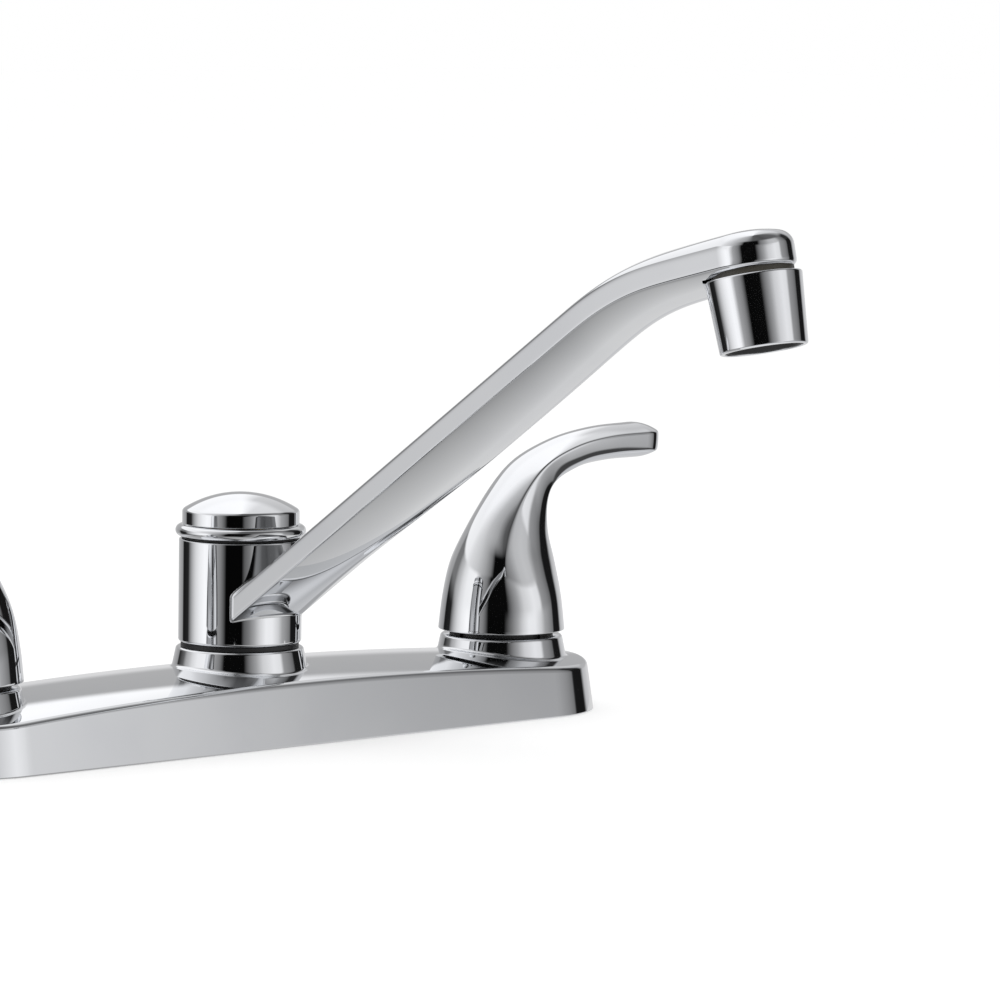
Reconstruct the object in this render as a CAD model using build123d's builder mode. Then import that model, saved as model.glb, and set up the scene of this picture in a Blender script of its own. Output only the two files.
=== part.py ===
from build123d import *
import os
from math import asin, cos, radians, sin, sqrt, tan

os.makedirs("parts", exist_ok=True)

# Two handle kitchen faucet. Millimetres, +Z up, deck plane at Z = 0, spout axis at X = Y = 0.
# The spout points to -Y, the hot handle is on the left (-X) and the cold handle on the right (+X).

# --- fits ---------------------------------------------------------------------------------
running_gap = 0.05              # radial, between a turning piece and its bearing
loose_gap = 0.2                 # between pieces that only pass each other
thread_gap = 0.05               # radial, on plain cylinders that stand for threads

# --- valve ---------------------------------------------------------------------------------
handle_spacing = 203.2          # centre to centre of the two supply shanks
shank_radius = 10.4
shank_length = 50.0             # below the deck
shank_bore = 6.5
shank_relief_radius = 9.6       # groove between the mounting thread and the coupling thread
shank_relief_width = 1.6
valve_body_radius = 13.0
valve_body_top = 27.0
valve_flange_radius = valve_body_radius + 2.5
valve_flange_thickness = 3.0
valve_chamber_radius = 9.0
valve_chamber_floor = 1.0
bonnet_thread_radius = valve_chamber_radius + 1.0
bonnet_thread_depth = 5.0
bonnet_hex_flats = 22.0
bonnet_hex_height = 4.0
stem_top = 44.0
stem_radius = 5.0
stem_waist = 4.0                # between the valve plate and the sealing piston
stem_flat = 3.6                 # from the axis to the drive flat
stem_plate_thickness = 3.0
stem_piston_height = 6.5
stem_o_ring_wire = 2.0
seat_offset = 4.4               # the water enters behind the stem's axis
seat_radius = 3.9
seat_height = 2.2
seat_proud = 0.4
seat_spring_radius = 3.0
seat_spring_wire = 0.7
seat_spring_turns = 3
seat_spring_length = 4.7
seat_floor_thickness = 2.0
tube_radius = 4.76
tube_wall = 0.9
tube_height = 9.5
tube_socket_depth = 3.0
locknut_radius = valve_body_radius + 2.3
locknut_height = 3.6
deck_thickness = 12.0           # the worktop that the hardware is drawn clamped on
mounting_nut_radius = shank_radius + 3.6
mounting_nut_height = 11.0
mounting_wing_span = 46.0
mounting_wing_thickness = 4.0
mounting_washer_radius = shank_radius + 7.1
mounting_washer_thickness = 2.0

# --- handle --------------------------------------------------------------------------------
bell_bottom = 23.15
bell_wall = 2.2
bell_hollow_radius = locknut_radius + 1.2
bell_radius = bell_hollow_radius + bell_wall
bell_hollow_top_radius = bonnet_hex_flats / 2 + 3.0
bell_hollow_top = 32.5
socket_top = stem_top + 0.4
handle_screw_radius = 2.5
handle_screw_length = 8.0
handle_screw_height = 38.0
lever_tip_centre = 52.4         # where the lever's rounded end has its centre
tip_step = 0.02                 # the rounded end stays this much inside the last station

# --- deck cover ----------------------------------------------------------------------------
handle_boss_height = 21.8
handle_boss_top_radius = bell_radius - 0.8
handle_boss_foot_radius = handle_boss_top_radius + 1.4      # at the level named boss_foot
hub_boss_height = 25.4
hub_boss_top_radius = 18.1
hub_boss_foot_radius = 20.3
boss_foot = 15.0
boss_wall = 2.4
boss_round = 0.9
cover_end_margin = 7.6          # from a handle boss's foot to the end of the cover
cover_length = handle_spacing + 2 * (handle_boss_foot_radius + cover_end_margin)
cover_width = 59.0              # the ends are full rounds of this width
cover_draft = 8.6               # degrees, how far the side walls lean in
cover_wall = 2.2
cover_crown = 20.3              # height of the crowned top at the centre
crown_radius_long = 1500.0      # crown from end to end
crown_radius_cross = 135.0      # crown from front to back
cover_edge_round = 1.4

# --- spout post and hub -------------------------------------------------------------------
gasket_thickness = 3.0
post_radius = 11.95
post_block_radius = 13.0
post_block_height = 14.0
post_bore = 6.5
post_thread_radius = 9.0
post_port_radius = 3.2
o_ring_wire = 2.5
post_groove_depth = o_ring_wire + 0.05
hub_radius = 17.5
hub_bottom = 26.8
hub_height = 29.35
hub_chamber_radius = post_radius + 2.35
hub_chamber_bottom = 34.0
hub_chamber_height = 12.0
glide_ring_inset = 0.7          # the glide rings stand back from the hub's skin
bead_radius = 18.55
bead_height = 3.4
upper_glide_thickness = 0.55
cap_radius = 16.65
cap_skirt_height = 4.0
cap_dome_height = 5.0
cap_wall = 1.4
cap_edge_round = 0.5
cap_gap = 0.15                  # seam between bead ring and cap

# --- aerator ------------------------------------------------------------------------------
aerator_thread_radius = 10.8
aerator_thread_length = 8.1
aerator_top_radius = aerator_thread_radius + 1.9
aerator_mouth_radius = aerator_top_radius - 1.2
aerator_height = 19.1
aerator_seat_radius = aerator_thread_radius - 0.8
aerator_mouth_bore = aerator_seat_radius - 0.5
aerator_mouth_depth = 3.0
aerator_lip_bore = aerator_seat_radius - 1.4
aerator_lip_thickness = 1.2
spigot_bore = aerator_thread_radius - 2.8
insert_height = 5.3
screen_thickness = 0.5
aerator_washer_thickness = 1.4

# --- spout arm ----------------------------------------------------------------------------
arm_slope = 33.46               # degrees above the deck
outlet_tilt = 13.3              # degrees, the outlet leans outwards at the bottom
outlet_reach = 206.4            # from the spout axis to the mouth's centre
outlet_height = 122.4           # of the mouth's centre above the deck
arm_side_height = 5.95          # flat flank, square to the arm
arm_bend_radius = 90.0
arm_start = 9.0                 # where the arm's first section stands, inside the hub
arm_start_half_width = 13.0
arm_crown = 3.1
head_radius = aerator_thread_radius + 0.9
head_step = 0.1                 # the arm meets the head this much narrower
head_mid = 24.4                 # along the outlet axis, from the mouth to mid flank
head_bottom = aerator_height + 0.8
head_crown = 31.2
head_shoulder = 27.4
passage_width = 14.0
passage_height = 6.6
passage_corner = 3.0
passage_drop = 0.6              # passage centre below mid flank

handle_x = handle_spacing / 2

# Crease line of the handle and the section around it, from bell to tip: out from the axis,
# height, lean of the spine, half width at the crease, rise above it, depth below it, and the
# lower rim's half width and drop. The first stations are circles, the last ones a tongue.
rim_half_share = 0.643
rim_drop_share = 0.766
handle_stations = [
    (0.0, bell_bottom, 0, bell_radius, bell_radius, bell_radius,
     bell_radius * rim_half_share, bell_radius * rim_drop_share),
    (0.0, 33.0, 0, bell_radius * 0.941, bell_radius * 0.941, bell_radius * 0.941,
     bell_radius * 0.941 * rim_half_share, bell_radius * 0.941 * rim_drop_share),
    (-2.5, 43.0, 6, 15.0, 12.9, 18.8, 10.2, 14.4),
    (-4.7, 51.9, 19, 10.9, 5.9, 22.3, 8.3, 16.9),
    (0.2, 62.1, 38, 8.5, 2.6, 17.2, 7.2, 12.7),
    (9.2, 70.9, 58, 8.0, 1.7, 10.1, 7.0, 6.3),
    (23.1, 76.7, 74, 8.0, 2.0, 8.1, 7.2, 5.0),
    (38.0, 79.0, 84, 8.2, 2.4, 8.1, 7.4, 5.2),
    (lever_tip_centre, 79.3, 90, 8.3, 2.7, 8.2, 7.5, 4.4),
]

# Spout sections along the arm: distance from the spout axis, belly depth under the flank.
arm_bellies = [(0, 1.6), (17, 2.0), (36, 3.0), (60, 4.8), (86, 6.2), (118, 6.3), (150, 5.7), (200, 4.6)]


def axis_plane(x):
    """Upright plane through the vertical axis at x, for profiles that are turned about it."""
    return Plane(origin=(x, 0, 0), x_dir=(1, 0, 0), z_dir=(0, -1, 0))


def upright(x):
    return Axis((x, 0, 0), (0, 0, 1))


def export(part, name):
    part.label = name
    export_step(part, f"parts/{name}.step")


# --- deck cover -----------------------------------------------------------------------------
def crown_form(drop):
    """Solid under the doubly crowned top, lowered by drop."""
    half = cover_width / 2 + 1
    reach = cover_length / 2 + 4
    sag = crown_radius_cross - sqrt(crown_radius_cross**2 - half**2)
    with BuildPart() as form:
        for share in (-1, -0.5, 0, 0.5, 1):
            x = reach * share
            ridge = cover_crown - drop - crown_radius_long + sqrt(crown_radius_long**2 - x**2)
            with BuildSketch(Plane.YZ.offset(x)):
                with BuildLine():
                    Polyline((half, ridge - sag), (half, -1), (-half, -1), (-half, ridge - sag))
                    ThreePointArc((-half, ridge - sag), (0, ridge), (half, ridge - sag))
                make_face()
        loft()
    return form.part


crown_outside = crown_form(0)
crown_inside = crown_form(cover_wall)
form_height = cover_crown + 5

with BuildPart() as cover_cavity:
    with BuildSketch(Plane.XY.offset(-0.01)):
        SlotOverall(cover_length - 2 * cover_wall, cover_width - 2 * cover_wall)
    extrude(amount=form_height, taper=cover_draft)
    add(crown_inside, mode=Mode.INTERSECT)

# Where each boss stands, its height, its radius at the top and at boss_foot, and what passes through.
bosses = [
    (0.0, hub_boss_height, hub_boss_top_radius, hub_boss_foot_radius, post_radius),
    (handle_x, handle_boss_height, handle_boss_top_radius, handle_boss_foot_radius, valve_body_radius),
    (-handle_x, handle_boss_height, handle_boss_top_radius, handle_boss_foot_radius, valve_body_radius),
]

with BuildPart() as deck_cover:
    with BuildSketch():
        SlotOverall(cover_length, cover_width)
    extrude(amount=form_height, taper=cover_draft)
    add(crown_outside, mode=Mode.INTERSECT)
    fillet(deck_cover.faces().sort_by(Axis.Z)[-1].edges(), radius=cover_edge_round)
    for x, top, top_radius, foot_radius, post in bosses:
        with BuildSketch(axis_plane(x)) as boss_profile:
            Polygon(
                (0, boss_foot), (foot_radius, boss_foot), (top_radius, top), (0, top), align=None
            )
            fillet(boss_profile.vertices().group_by(Axis.Y)[-1].sort_by(Axis.X)[-1], radius=boss_round)
        revolve(axis=upright(x))
    add(cover_cavity.part, mode=Mode.SUBTRACT)
    for x, top, top_radius, foot_radius, post in bosses:
        bore = post + loose_gap
        with BuildSketch(axis_plane(x)):
            Polygon(
                (0, 0), (foot_radius - boss_wall - 0.6, 0), (top_radius - boss_wall, top - boss_wall),
                (bore, top - boss_wall), (bore, top + 1), (0, top + 1), align=None
            )
        revolve(axis=upright(x), mode=Mode.SUBTRACT)
export(deck_cover.part, "deck_cover")

gasket_inset = cover_wall + 0.8
with BuildPart() as deck_gasket:
    with BuildSketch():
        SlotOverall(cover_length - 2 * gasket_inset, cover_width - 2 * gasket_inset)
        with Locations((-handle_x, 0), (handle_x, 0)):
            Circle(shank_radius + loose_gap, mode=Mode.SUBTRACT)
    extrude(amount=gasket_thickness, taper=cover_draft)
export(deck_gasket.part, "deck_gasket")

# --- spout post -----------------------------------------------------------------------------
post_block_top = gasket_thickness + post_block_height
hub_top = hub_bottom + hub_height
nut_bottom = hub_top + loose_gap / 2 + upper_glide_thickness
nut_top = nut_bottom + bead_height
port_z = hub_chamber_bottom + hub_chamber_height / 2
groove_half = o_ring_wire / 2 + 0.1
o_ring_heights = {
    "lower": (hub_bottom + hub_chamber_bottom) / 2,
    "upper": (hub_chamber_bottom + hub_chamber_height + hub_top) / 2,
}
post_top = nut_top + 3.0

with BuildPart() as spout_post:
    with BuildSketch(axis_plane(0)):
        Polygon(
            (0, gasket_thickness), (post_block_radius, gasket_thickness),
            (post_block_radius, post_block_top), (post_radius, post_block_top + 1),
            (post_radius, hub_top), (post_thread_radius, hub_top),
            (post_thread_radius, post_top), (0, post_top), align=None
        )
        for z in o_ring_heights.values():
            with Locations((post_radius, z)):
                Rectangle(2 * post_groove_depth, 2 * groove_half, mode=Mode.SUBTRACT)
    revolve(axis=Axis.Z)
    with BuildSketch(Plane.XY.offset(gasket_thickness + 2)):
        Circle(post_bore)
    extrude(amount=hub_chamber_bottom + hub_chamber_height - gasket_thickness - 2, mode=Mode.SUBTRACT)
    for port_plane in (Plane.XZ, Plane.YZ):
        with BuildSketch(port_plane):
            with Locations((0, port_z)):
                Circle(post_port_radius)
        extrude(amount=post_radius + 1, both=True, mode=Mode.SUBTRACT)
    for side in (-1, 1):
        with BuildSketch(Plane.YZ.offset(side * (post_block_radius - tube_socket_depth))):
            with Locations((0, tube_height)):
                Circle(tube_radius + thread_gap)
        extrude(amount=side * (tube_socket_depth + 1), mode=Mode.SUBTRACT)
        with BuildSketch(Plane.YZ):
            with Locations((0, tube_height)):
                Circle(tube_radius - tube_wall)
        extrude(amount=side * post_block_radius, mode=Mode.SUBTRACT)
export(spout_post.part, "spout_post")

for level, z in o_ring_heights.items():
    with BuildPart() as post_o_ring:
        with BuildSketch(axis_plane(0)):
            with Locations((post_radius - o_ring_wire / 2, z)):
                Circle(o_ring_wire / 2)
        revolve(axis=Axis.Z)
    export(post_o_ring.part, f"post_o_ring_{level}")

with BuildPart() as lower_glide_ring:
    with BuildSketch(Plane.XY.offset(hub_boss_height)):
        Circle(hub_radius - glide_ring_inset)
        Circle(post_radius + loose_gap, mode=Mode.SUBTRACT)
    extrude(amount=hub_bottom - hub_boss_height - running_gap)
export(lower_glide_ring.part, "lower_glide_ring")

with BuildPart() as upper_glide_ring:
    with BuildSketch(Plane.XY.offset(nut_bottom - upper_glide_thickness)):
        Circle(hub_radius - glide_ring_inset)
        Circle(post_thread_radius + loose_gap, mode=Mode.SUBTRACT)
    extrude(amount=upper_glide_thickness)
export(upper_glide_ring.part, "upper_glide_ring")

with BuildPart() as spout_nut:
    with BuildSketch(axis_plane(0)):
        bead_wall = bead_radius - bead_height / 2
        Polygon(
            (post_thread_radius + thread_gap, nut_bottom), (bead_wall, nut_bottom),
            (bead_wall, nut_top), (post_thread_radius + thread_gap, nut_top), align=None
        )
        with Locations((bead_wall, nut_bottom + bead_height / 2)):
            Circle(bead_height / 2)
    revolve(axis=Axis.Z)
export(spout_nut.part, "spout_nut")

cap_bottom = nut_top + cap_gap
cap_skirt_top = cap_bottom + cap_skirt_height
cap_top = cap_skirt_top + cap_dome_height


def dome_arc(radius, base, rise):
    """Meridian of a shallow dome from its rim to its pole."""
    sphere = (radius**2 + rise**2) / (2 * rise)
    half_angle = asin(radius / sphere) / 2
    middle = (sphere * sin(half_angle), base + rise - sphere * (1 - cos(half_angle)))
    return ThreePointArc((radius, base), middle, (0, base + rise))


with BuildPart() as spout_cap:
    with BuildSketch(axis_plane(0)) as cap_profile:
        with BuildLine():
            Polyline((0, cap_top), (0, cap_bottom), (cap_radius, cap_bottom), (cap_radius, cap_skirt_top))
            dome_arc(cap_radius, cap_skirt_top, cap_dome_height)
        make_face()
        fillet(cap_profile.vertices().filter_by_position(Axis.X, cap_radius - 0.1, cap_radius + 0.1),
               radius=cap_edge_round)
    revolve(axis=Axis.Z)
    with BuildSketch(axis_plane(0)):
        with BuildLine():
            inside = cap_radius - cap_wall
            Polyline((0, cap_top - cap_wall), (0, cap_bottom - 1), (inside, cap_bottom - 1),
                     (inside, cap_skirt_top - cap_wall / 2))
            dome_arc(inside, cap_skirt_top - cap_wall / 2, cap_dome_height - cap_wall / 2)
        make_face()
    revolve(axis=Axis.Z, mode=Mode.SUBTRACT)
    with BuildSketch(Plane.XY.offset(cap_bottom)):
        Circle(post_thread_radius + 2.5)
        Circle(post_thread_radius + thread_gap, mode=Mode.SUBTRACT)
    extrude(amount=cap_skirt_height + cap_dome_height * 0.4)
export(spout_cap.part, "spout_cap")

# --- spout casting ---------------------------------------------------------------------------
mouth = Vector(0, -outlet_reach, outlet_height)
outlet_up = Vector(0, sin(radians(outlet_tilt)), cos(radians(outlet_tilt)))
outlet_back = Vector(0, cos(radians(outlet_tilt)), -sin(radians(outlet_tilt)))
head_point = mouth + outlet_up * head_mid

# The arm's mid line climbs straight from the hub, bends down over an arc and meets the head square.
arm_line_height = 30.3          # height of the straight run's line where it crosses the spout axis
rise_per_reach = tan(radians(arm_slope))
end_rise = tan(radians(outlet_tilt))
knee_reach = (
    (head_point.Z + head_point.Y * end_rise - arm_line_height) / (rise_per_reach - end_rise)
)
knee = Vector(0, -knee_reach, arm_line_height + rise_per_reach * knee_reach)
bend_angle = arm_slope - outlet_tilt
bend_tangent = arm_bend_radius * tan(radians(bend_angle / 2))
arm_direction = Vector(0, -cos(radians(arm_slope)), sin(radians(arm_slope)))
head_direction = outlet_back * -1
start_point = Vector(0, -arm_start, arm_line_height + rise_per_reach * arm_start)
bend_start = knee - arm_direction * bend_tangent
bend_end = knee + head_direction * bend_tangent
bend_centre = bend_start - Vector(0, sin(radians(arm_slope)), cos(radians(arm_slope))) * arm_bend_radius


def arm_frame(share):
    """Point and slope of the mid line; share runs 0-1 on the straight, 1-2 on the bend, 2-3 on the end."""
    if share <= 1:
        return start_point + (bend_start - start_point) * share, arm_slope
    if share <= 2:
        slope = arm_slope - bend_angle * (share - 1)
        up = Vector(0, sin(radians(slope)), cos(radians(slope)))
        return bend_centre + up * arm_bend_radius, slope
    return bend_end + (head_point - bend_end) * (share - 2), outlet_tilt


def belly_depth(reach):
    for (near, shallow), (far, deep) in zip(arm_bellies[:-1], arm_bellies[1:]):
        if near <= reach <= far:
            return shallow + (deep - shallow) * (reach - near) / (far - near)
    return arm_bellies[-1][1]


def half_width(reach):
    share = (reach - arm_start) / (-head_point.Y - arm_start)
    return arm_start_half_width + (head_radius - head_step - arm_start_half_width) * share


def corner_round(reach):
    """The top corners grow from a crisp edge at the hub to the head's soft shoulder."""
    share = max(0.0, (reach - 150) / (-head_point.Y - 150))
    return 0.9 + 2.0 * share


with BuildPart() as spout_arm:
    for share in (0, 0.2, 0.4, 0.6, 0.8, 1, 1.35, 1.7, 2, 2.5, 3):
        point, slope = arm_frame(share)
        wide = half_width(-point.Y)
        belly = belly_depth(-point.Y)
        turn = corner_round(-point.Y)
        flank = arm_side_height / 2
        tangent = (0, -cos(radians(slope)), sin(radians(slope)))
        with BuildSketch(Plane(origin=point, x_dir=(1, 0, 0), z_dir=tangent)):
            with BuildLine():
                ThreePointArc((-wide + turn, flank + turn * 0.3), (0, flank + arm_crown),
                              (wide - turn, flank + turn * 0.3))
                ThreePointArc((wide - turn, flank + turn * 0.3), (wide - turn * 0.28, flank - turn * 0.12),
                              (wide, flank - turn * 0.8))
                Line((wide, flank - turn * 0.8), (wide, -flank))
                ThreePointArc((wide, -flank), (0, -flank - belly), (-wide, -flank))
                Line((-wide, -flank), (-wide, flank - turn * 0.8))
                ThreePointArc((-wide, flank - turn * 0.8), (-wide + turn * 0.28, flank - turn * 0.12),
                              (-wide + turn, flank + turn * 0.3))
            make_face()
    loft()

outlet_axis = Axis(mouth, outlet_up)
outlet_plane = Plane(origin=mouth, x_dir=-outlet_back, z_dir=(-1, 0, 0))
mouth_plane = Plane(origin=mouth, x_dir=(1, 0, 0), z_dir=outlet_up)

with BuildPart() as spout_casting:
    with BuildSketch(Plane.XY.offset(hub_bottom)):
        Circle(hub_radius)
    extrude(amount=hub_height)
    add(spout_arm.part)
    with BuildSketch(mouth_plane):
        Circle(aerator_top_radius + 0.5)
    extrude(amount=head_bottom, mode=Mode.SUBTRACT)
    with BuildSketch(outlet_plane):
        with BuildLine():
            Polyline((0, head_crown), (0, head_bottom), (head_radius, head_bottom),
                     (head_radius, head_shoulder - 1))
            ThreePointArc((head_radius, head_shoulder - 1), (head_radius - 0.9, head_shoulder + 1.2),
                          (head_radius - 3.2, head_shoulder + 2.6))
            ThreePointArc((head_radius - 3.2, head_shoulder + 2.6), (head_radius * 0.37, head_crown - 0.35),
                          (0, head_crown))
        make_face()
    revolve(axis=outlet_axis)
    with BuildSketch(mouth_plane.offset(head_bottom - aerator_thread_length)):
        Circle(aerator_thread_radius)
    extrude(amount=aerator_thread_length + 1)
    # Water way: the hub's bore and ring chamber, the flat passage in the arm, the drop in the head.
    with BuildSketch(Plane.XY.offset(hub_bottom)):
        Circle(post_radius + running_gap)
    extrude(amount=hub_height, mode=Mode.SUBTRACT)
    with BuildSketch(Plane.XY.offset(hub_chamber_bottom)):
        Circle(hub_chamber_radius)
    extrude(amount=hub_chamber_height, mode=Mode.SUBTRACT)
    with BuildLine(mode=Mode.PRIVATE) as passage_path:
        drop = Vector(0, 0, -passage_drop)
        Line(start_point + drop, bend_start + drop)
        ThreePointArc(bend_start + drop, arm_frame(1.5)[0] + drop, bend_end + drop)
        Line(bend_end + drop, head_point + drop)
    with BuildSketch(Plane(origin=start_point + drop, x_dir=(1, 0, 0), z_dir=arm_direction)):
        RectangleRounded(passage_width, passage_height, passage_corner)
    sweep(path=passage_path.wires()[0], mode=Mode.SUBTRACT)
    with BuildSketch(mouth_plane.offset(head_bottom - aerator_thread_length - 1)):
        Circle(spigot_bore)
    extrude(amount=head_mid + passage_height / 2 - head_bottom + aerator_thread_length + 1 - passage_drop,
            mode=Mode.SUBTRACT)
export(spout_casting.part, "spout_casting")

# --- aerator ---------------------------------------------------------------------------------
lip_top = aerator_mouth_depth + aerator_lip_thickness
insert_bottom = lip_top + thread_gap
insert_top = insert_bottom + insert_height
screen_top = insert_top + screen_thickness
washer_top = head_bottom - aerator_thread_length
thread_bottom = screen_top + thread_gap

with BuildPart() as aerator_housing:
    with BuildSketch(outlet_plane) as housing_profile:
        Polygon(
            (0, 0), (aerator_mouth_radius, 0), (aerator_top_radius, aerator_height),
            (0, aerator_height), align=None
        )
        fillet(housing_profile.vertices().filter_by_position(Axis.X, 5, 20), radius=0.5)
        Polygon(
            (0, -1), (aerator_mouth_bore, -1), (aerator_mouth_bore, aerator_mouth_depth),
            (aerator_lip_bore, aerator_mouth_depth), (aerator_lip_bore, lip_top),
            (aerator_seat_radius, lip_top), (aerator_seat_radius, thread_bottom),
            (aerator_thread_radius + thread_gap, thread_bottom),
            (aerator_thread_radius + thread_gap, aerator_height + 1), (0, aerator_height + 1),
            align=None, mode=Mode.SUBTRACT
        )
    revolve(axis=outlet_axis)
export(aerator_housing.part, "aerator_housing")

with BuildPart() as aerator_insert:
    with BuildSketch(mouth_plane.offset(insert_bottom)):
        Circle(aerator_seat_radius - thread_gap)
    extrude(amount=insert_height)
    with BuildSketch(mouth_plane.offset(insert_bottom + 1.2)):
        Circle(aerator_seat_radius - 1.3)
    extrude(amount=insert_height, mode=Mode.SUBTRACT)
    with BuildSketch(mouth_plane.offset(insert_bottom - 1)):
        Circle(0.9)
        with PolarLocations(2.8, 6):
            Circle(0.9)
        with PolarLocations(5.6, 12):
            Circle(0.9)
    extrude(amount=3, mode=Mode.SUBTRACT)
export(aerator_insert.part, "aerator_insert")

with BuildPart() as aerator_screen:
    with BuildSketch(mouth_plane.offset(insert_top)):
        Circle(aerator_seat_radius - 0.3)
    extrude(amount=screen_thickness)
export(aerator_screen.part, "aerator_screen")

with BuildPart() as aerator_washer:
    with BuildSketch(mouth_plane.offset(washer_top - aerator_washer_thickness)):
        Circle(aerator_thread_radius - 0.1)
        Circle(spigot_bore, mode=Mode.SUBTRACT)
    extrude(amount=aerator_washer_thickness)
export(aerator_washer.part, "aerator_washer")

# --- handle ---------------------------------------------------------------------------------

def handle_section(half, rise, depth, rim_half, rim_drop):
    """Outline of one station: crowned top, two flanks and the belly, in the plane across the spine."""
    mid_x, mid_y = flank_middle(half, rim_half, rim_drop)
    ThreePointArc((-half, 0), (0, rise), (half, 0))
    ThreePointArc((half, 0), (mid_x, mid_y), (rim_half, -rim_drop))
    ThreePointArc((rim_half, -rim_drop), (0, -depth), (-rim_half, -rim_drop))
    ThreePointArc((-rim_half, -rim_drop), (-mid_x, mid_y), (-half, 0))


def station_plane(out, height, lean):
    turn = radians(lean)
    return Plane(origin=(handle_x + out, 0, height), x_dir=(0, 1, 0), z_dir=(sin(turn), 0, cos(turn)))


def flank_middle(half, rim_half, rim_drop):
    """A point that keeps the flank gently swelled between the crease and the rim."""
    return (half + rim_half) / 2 + 0.24 * (half - rim_half), -0.53 * rim_drop


def spine_slopes(lengths, values):
    """Rate of change at each station, from the parabola through its neighbours."""
    steps = [b - a for a, b in zip(lengths[:-1], lengths[1:])]
    rates = [(b - a) / step for a, b, step in zip(values[:-1], values[1:], steps)]
    inner = [
        (rates[i] * steps[i + 1] + rates[i + 1] * steps[i]) / (steps[i] + steps[i + 1])
        for i in range(len(rates) - 1)
    ]
    return [rates[0]] + inner + [rates[-1]]


def filled_stations(stations, steps):
    """The given stations with smooth ones between them, so that the skin runs without waves."""
    lengths = [0.0]
    for before, after in zip(stations[:-1], stations[1:]):
        lengths.append(lengths[-1] + sqrt((after[0] - before[0])**2 + (after[1] - before[1])**2))
    slopes = [spine_slopes(lengths, column) for column in zip(*stations)]
    filled = [stations[0]]
    for i in range(len(stations) - 1):
        step = lengths[i + 1] - lengths[i]
        for k in range(1, steps + 1):
            t = k / steps
            filled.append(tuple(
                (2 * t**3 - 3 * t**2 + 1) * stations[i][c] + (t**3 - 2 * t**2 + t) * step * slopes[c][i]
                + (3 * t**2 - 2 * t**3) * stations[i + 1][c] + (t**3 - t**2) * step * slopes[c][i + 1]
                for c in range(len(stations[0]))
            ))
    return filled


with BuildPart() as handle_body:
    for out, height, lean, *section in filled_stations(handle_stations, 3):
        with BuildSketch(station_plane(out, height, lean)):
            with BuildLine():
                handle_section(*section)
            make_face()
    loft()

# The rounded end is the last station's half outline turned about an upright axis.
out, height, lean, half, rise, depth, rim_half, rim_drop = handle_stations[-1]
tip_plane = station_plane(out, height, lean)
half, rise, depth, rim_half = half - tip_step, rise - tip_step, depth - tip_step, rim_half - tip_step
with BuildPart() as handle_tip:
    with BuildSketch(tip_plane):
        with BuildLine():
            Line((0, -depth), (0, rise))
            dome_arc(half, 0, rise)
            ThreePointArc((half, 0), flank_middle(half, rim_half, rim_drop), (rim_half, -rim_drop))
            dome_arc(rim_half, -rim_drop, rim_drop - depth)
        make_face()
    revolve(axis=Axis(tip_plane.origin, (0, 0, 1)))
handle_blank = handle_body.part + handle_tip.part

with BuildPart() as cold_handle:
    add(handle_blank)
    with BuildSketch(axis_plane(handle_x)):
        Polygon(
            (0, bell_bottom - 1), (bell_hollow_radius, bell_bottom - 1),
            (bell_hollow_radius, bell_bottom + 4), (bell_hollow_top_radius, bell_hollow_top),
            (0, bell_hollow_top), align=None
        )
    revolve(axis=upright(handle_x), mode=Mode.SUBTRACT)
    with BuildSketch(Plane.XY.offset(bell_hollow_top - 1)):
        with Locations((handle_x, 0)):
            Circle(stem_radius + thread_gap)
            with Locations((stem_flat + thread_gap + 5, 0)):
                Rectangle(10, 20, mode=Mode.SUBTRACT)
    extrude(amount=socket_top - bell_hollow_top + 1, mode=Mode.SUBTRACT)
    with BuildSketch(Plane.YZ.offset(handle_x)):
        with Locations((0, handle_screw_height)):
            Circle(handle_screw_radius + thread_gap)
    extrude(amount=bell_radius + 6, mode=Mode.SUBTRACT)
export(cold_handle.part, "cold_handle")

with BuildPart() as hot_handle:
    add(mirror(cold_handle.part, about=Plane.YZ, mode=Mode.PRIVATE))
export(hot_handle.part, "hot_handle")

# --- valves, one on each side -----------------------------------------------------------------
seat_top = valve_chamber_floor + seat_proud
seat_bottom = seat_top - seat_height
spring_bottom = seat_bottom - seat_spring_length
piston_top = valve_body_top - bonnet_thread_depth - running_gap
piston_bottom = piston_top - stem_piston_height
piston_middle = (piston_bottom + piston_top) / 2
plate_top = seat_top + stem_plate_thickness
piston_radius = valve_chamber_radius - running_gap
stem_groove_depth = stem_o_ring_wire + 0.1
tube_start = post_block_radius - tube_socket_depth + running_gap
tube_end = handle_x - valve_body_radius + tube_socket_depth - running_gap
nut_base = -deck_thickness - mounting_washer_thickness - mounting_nut_height
relief_top = nut_base - 0.4

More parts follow.
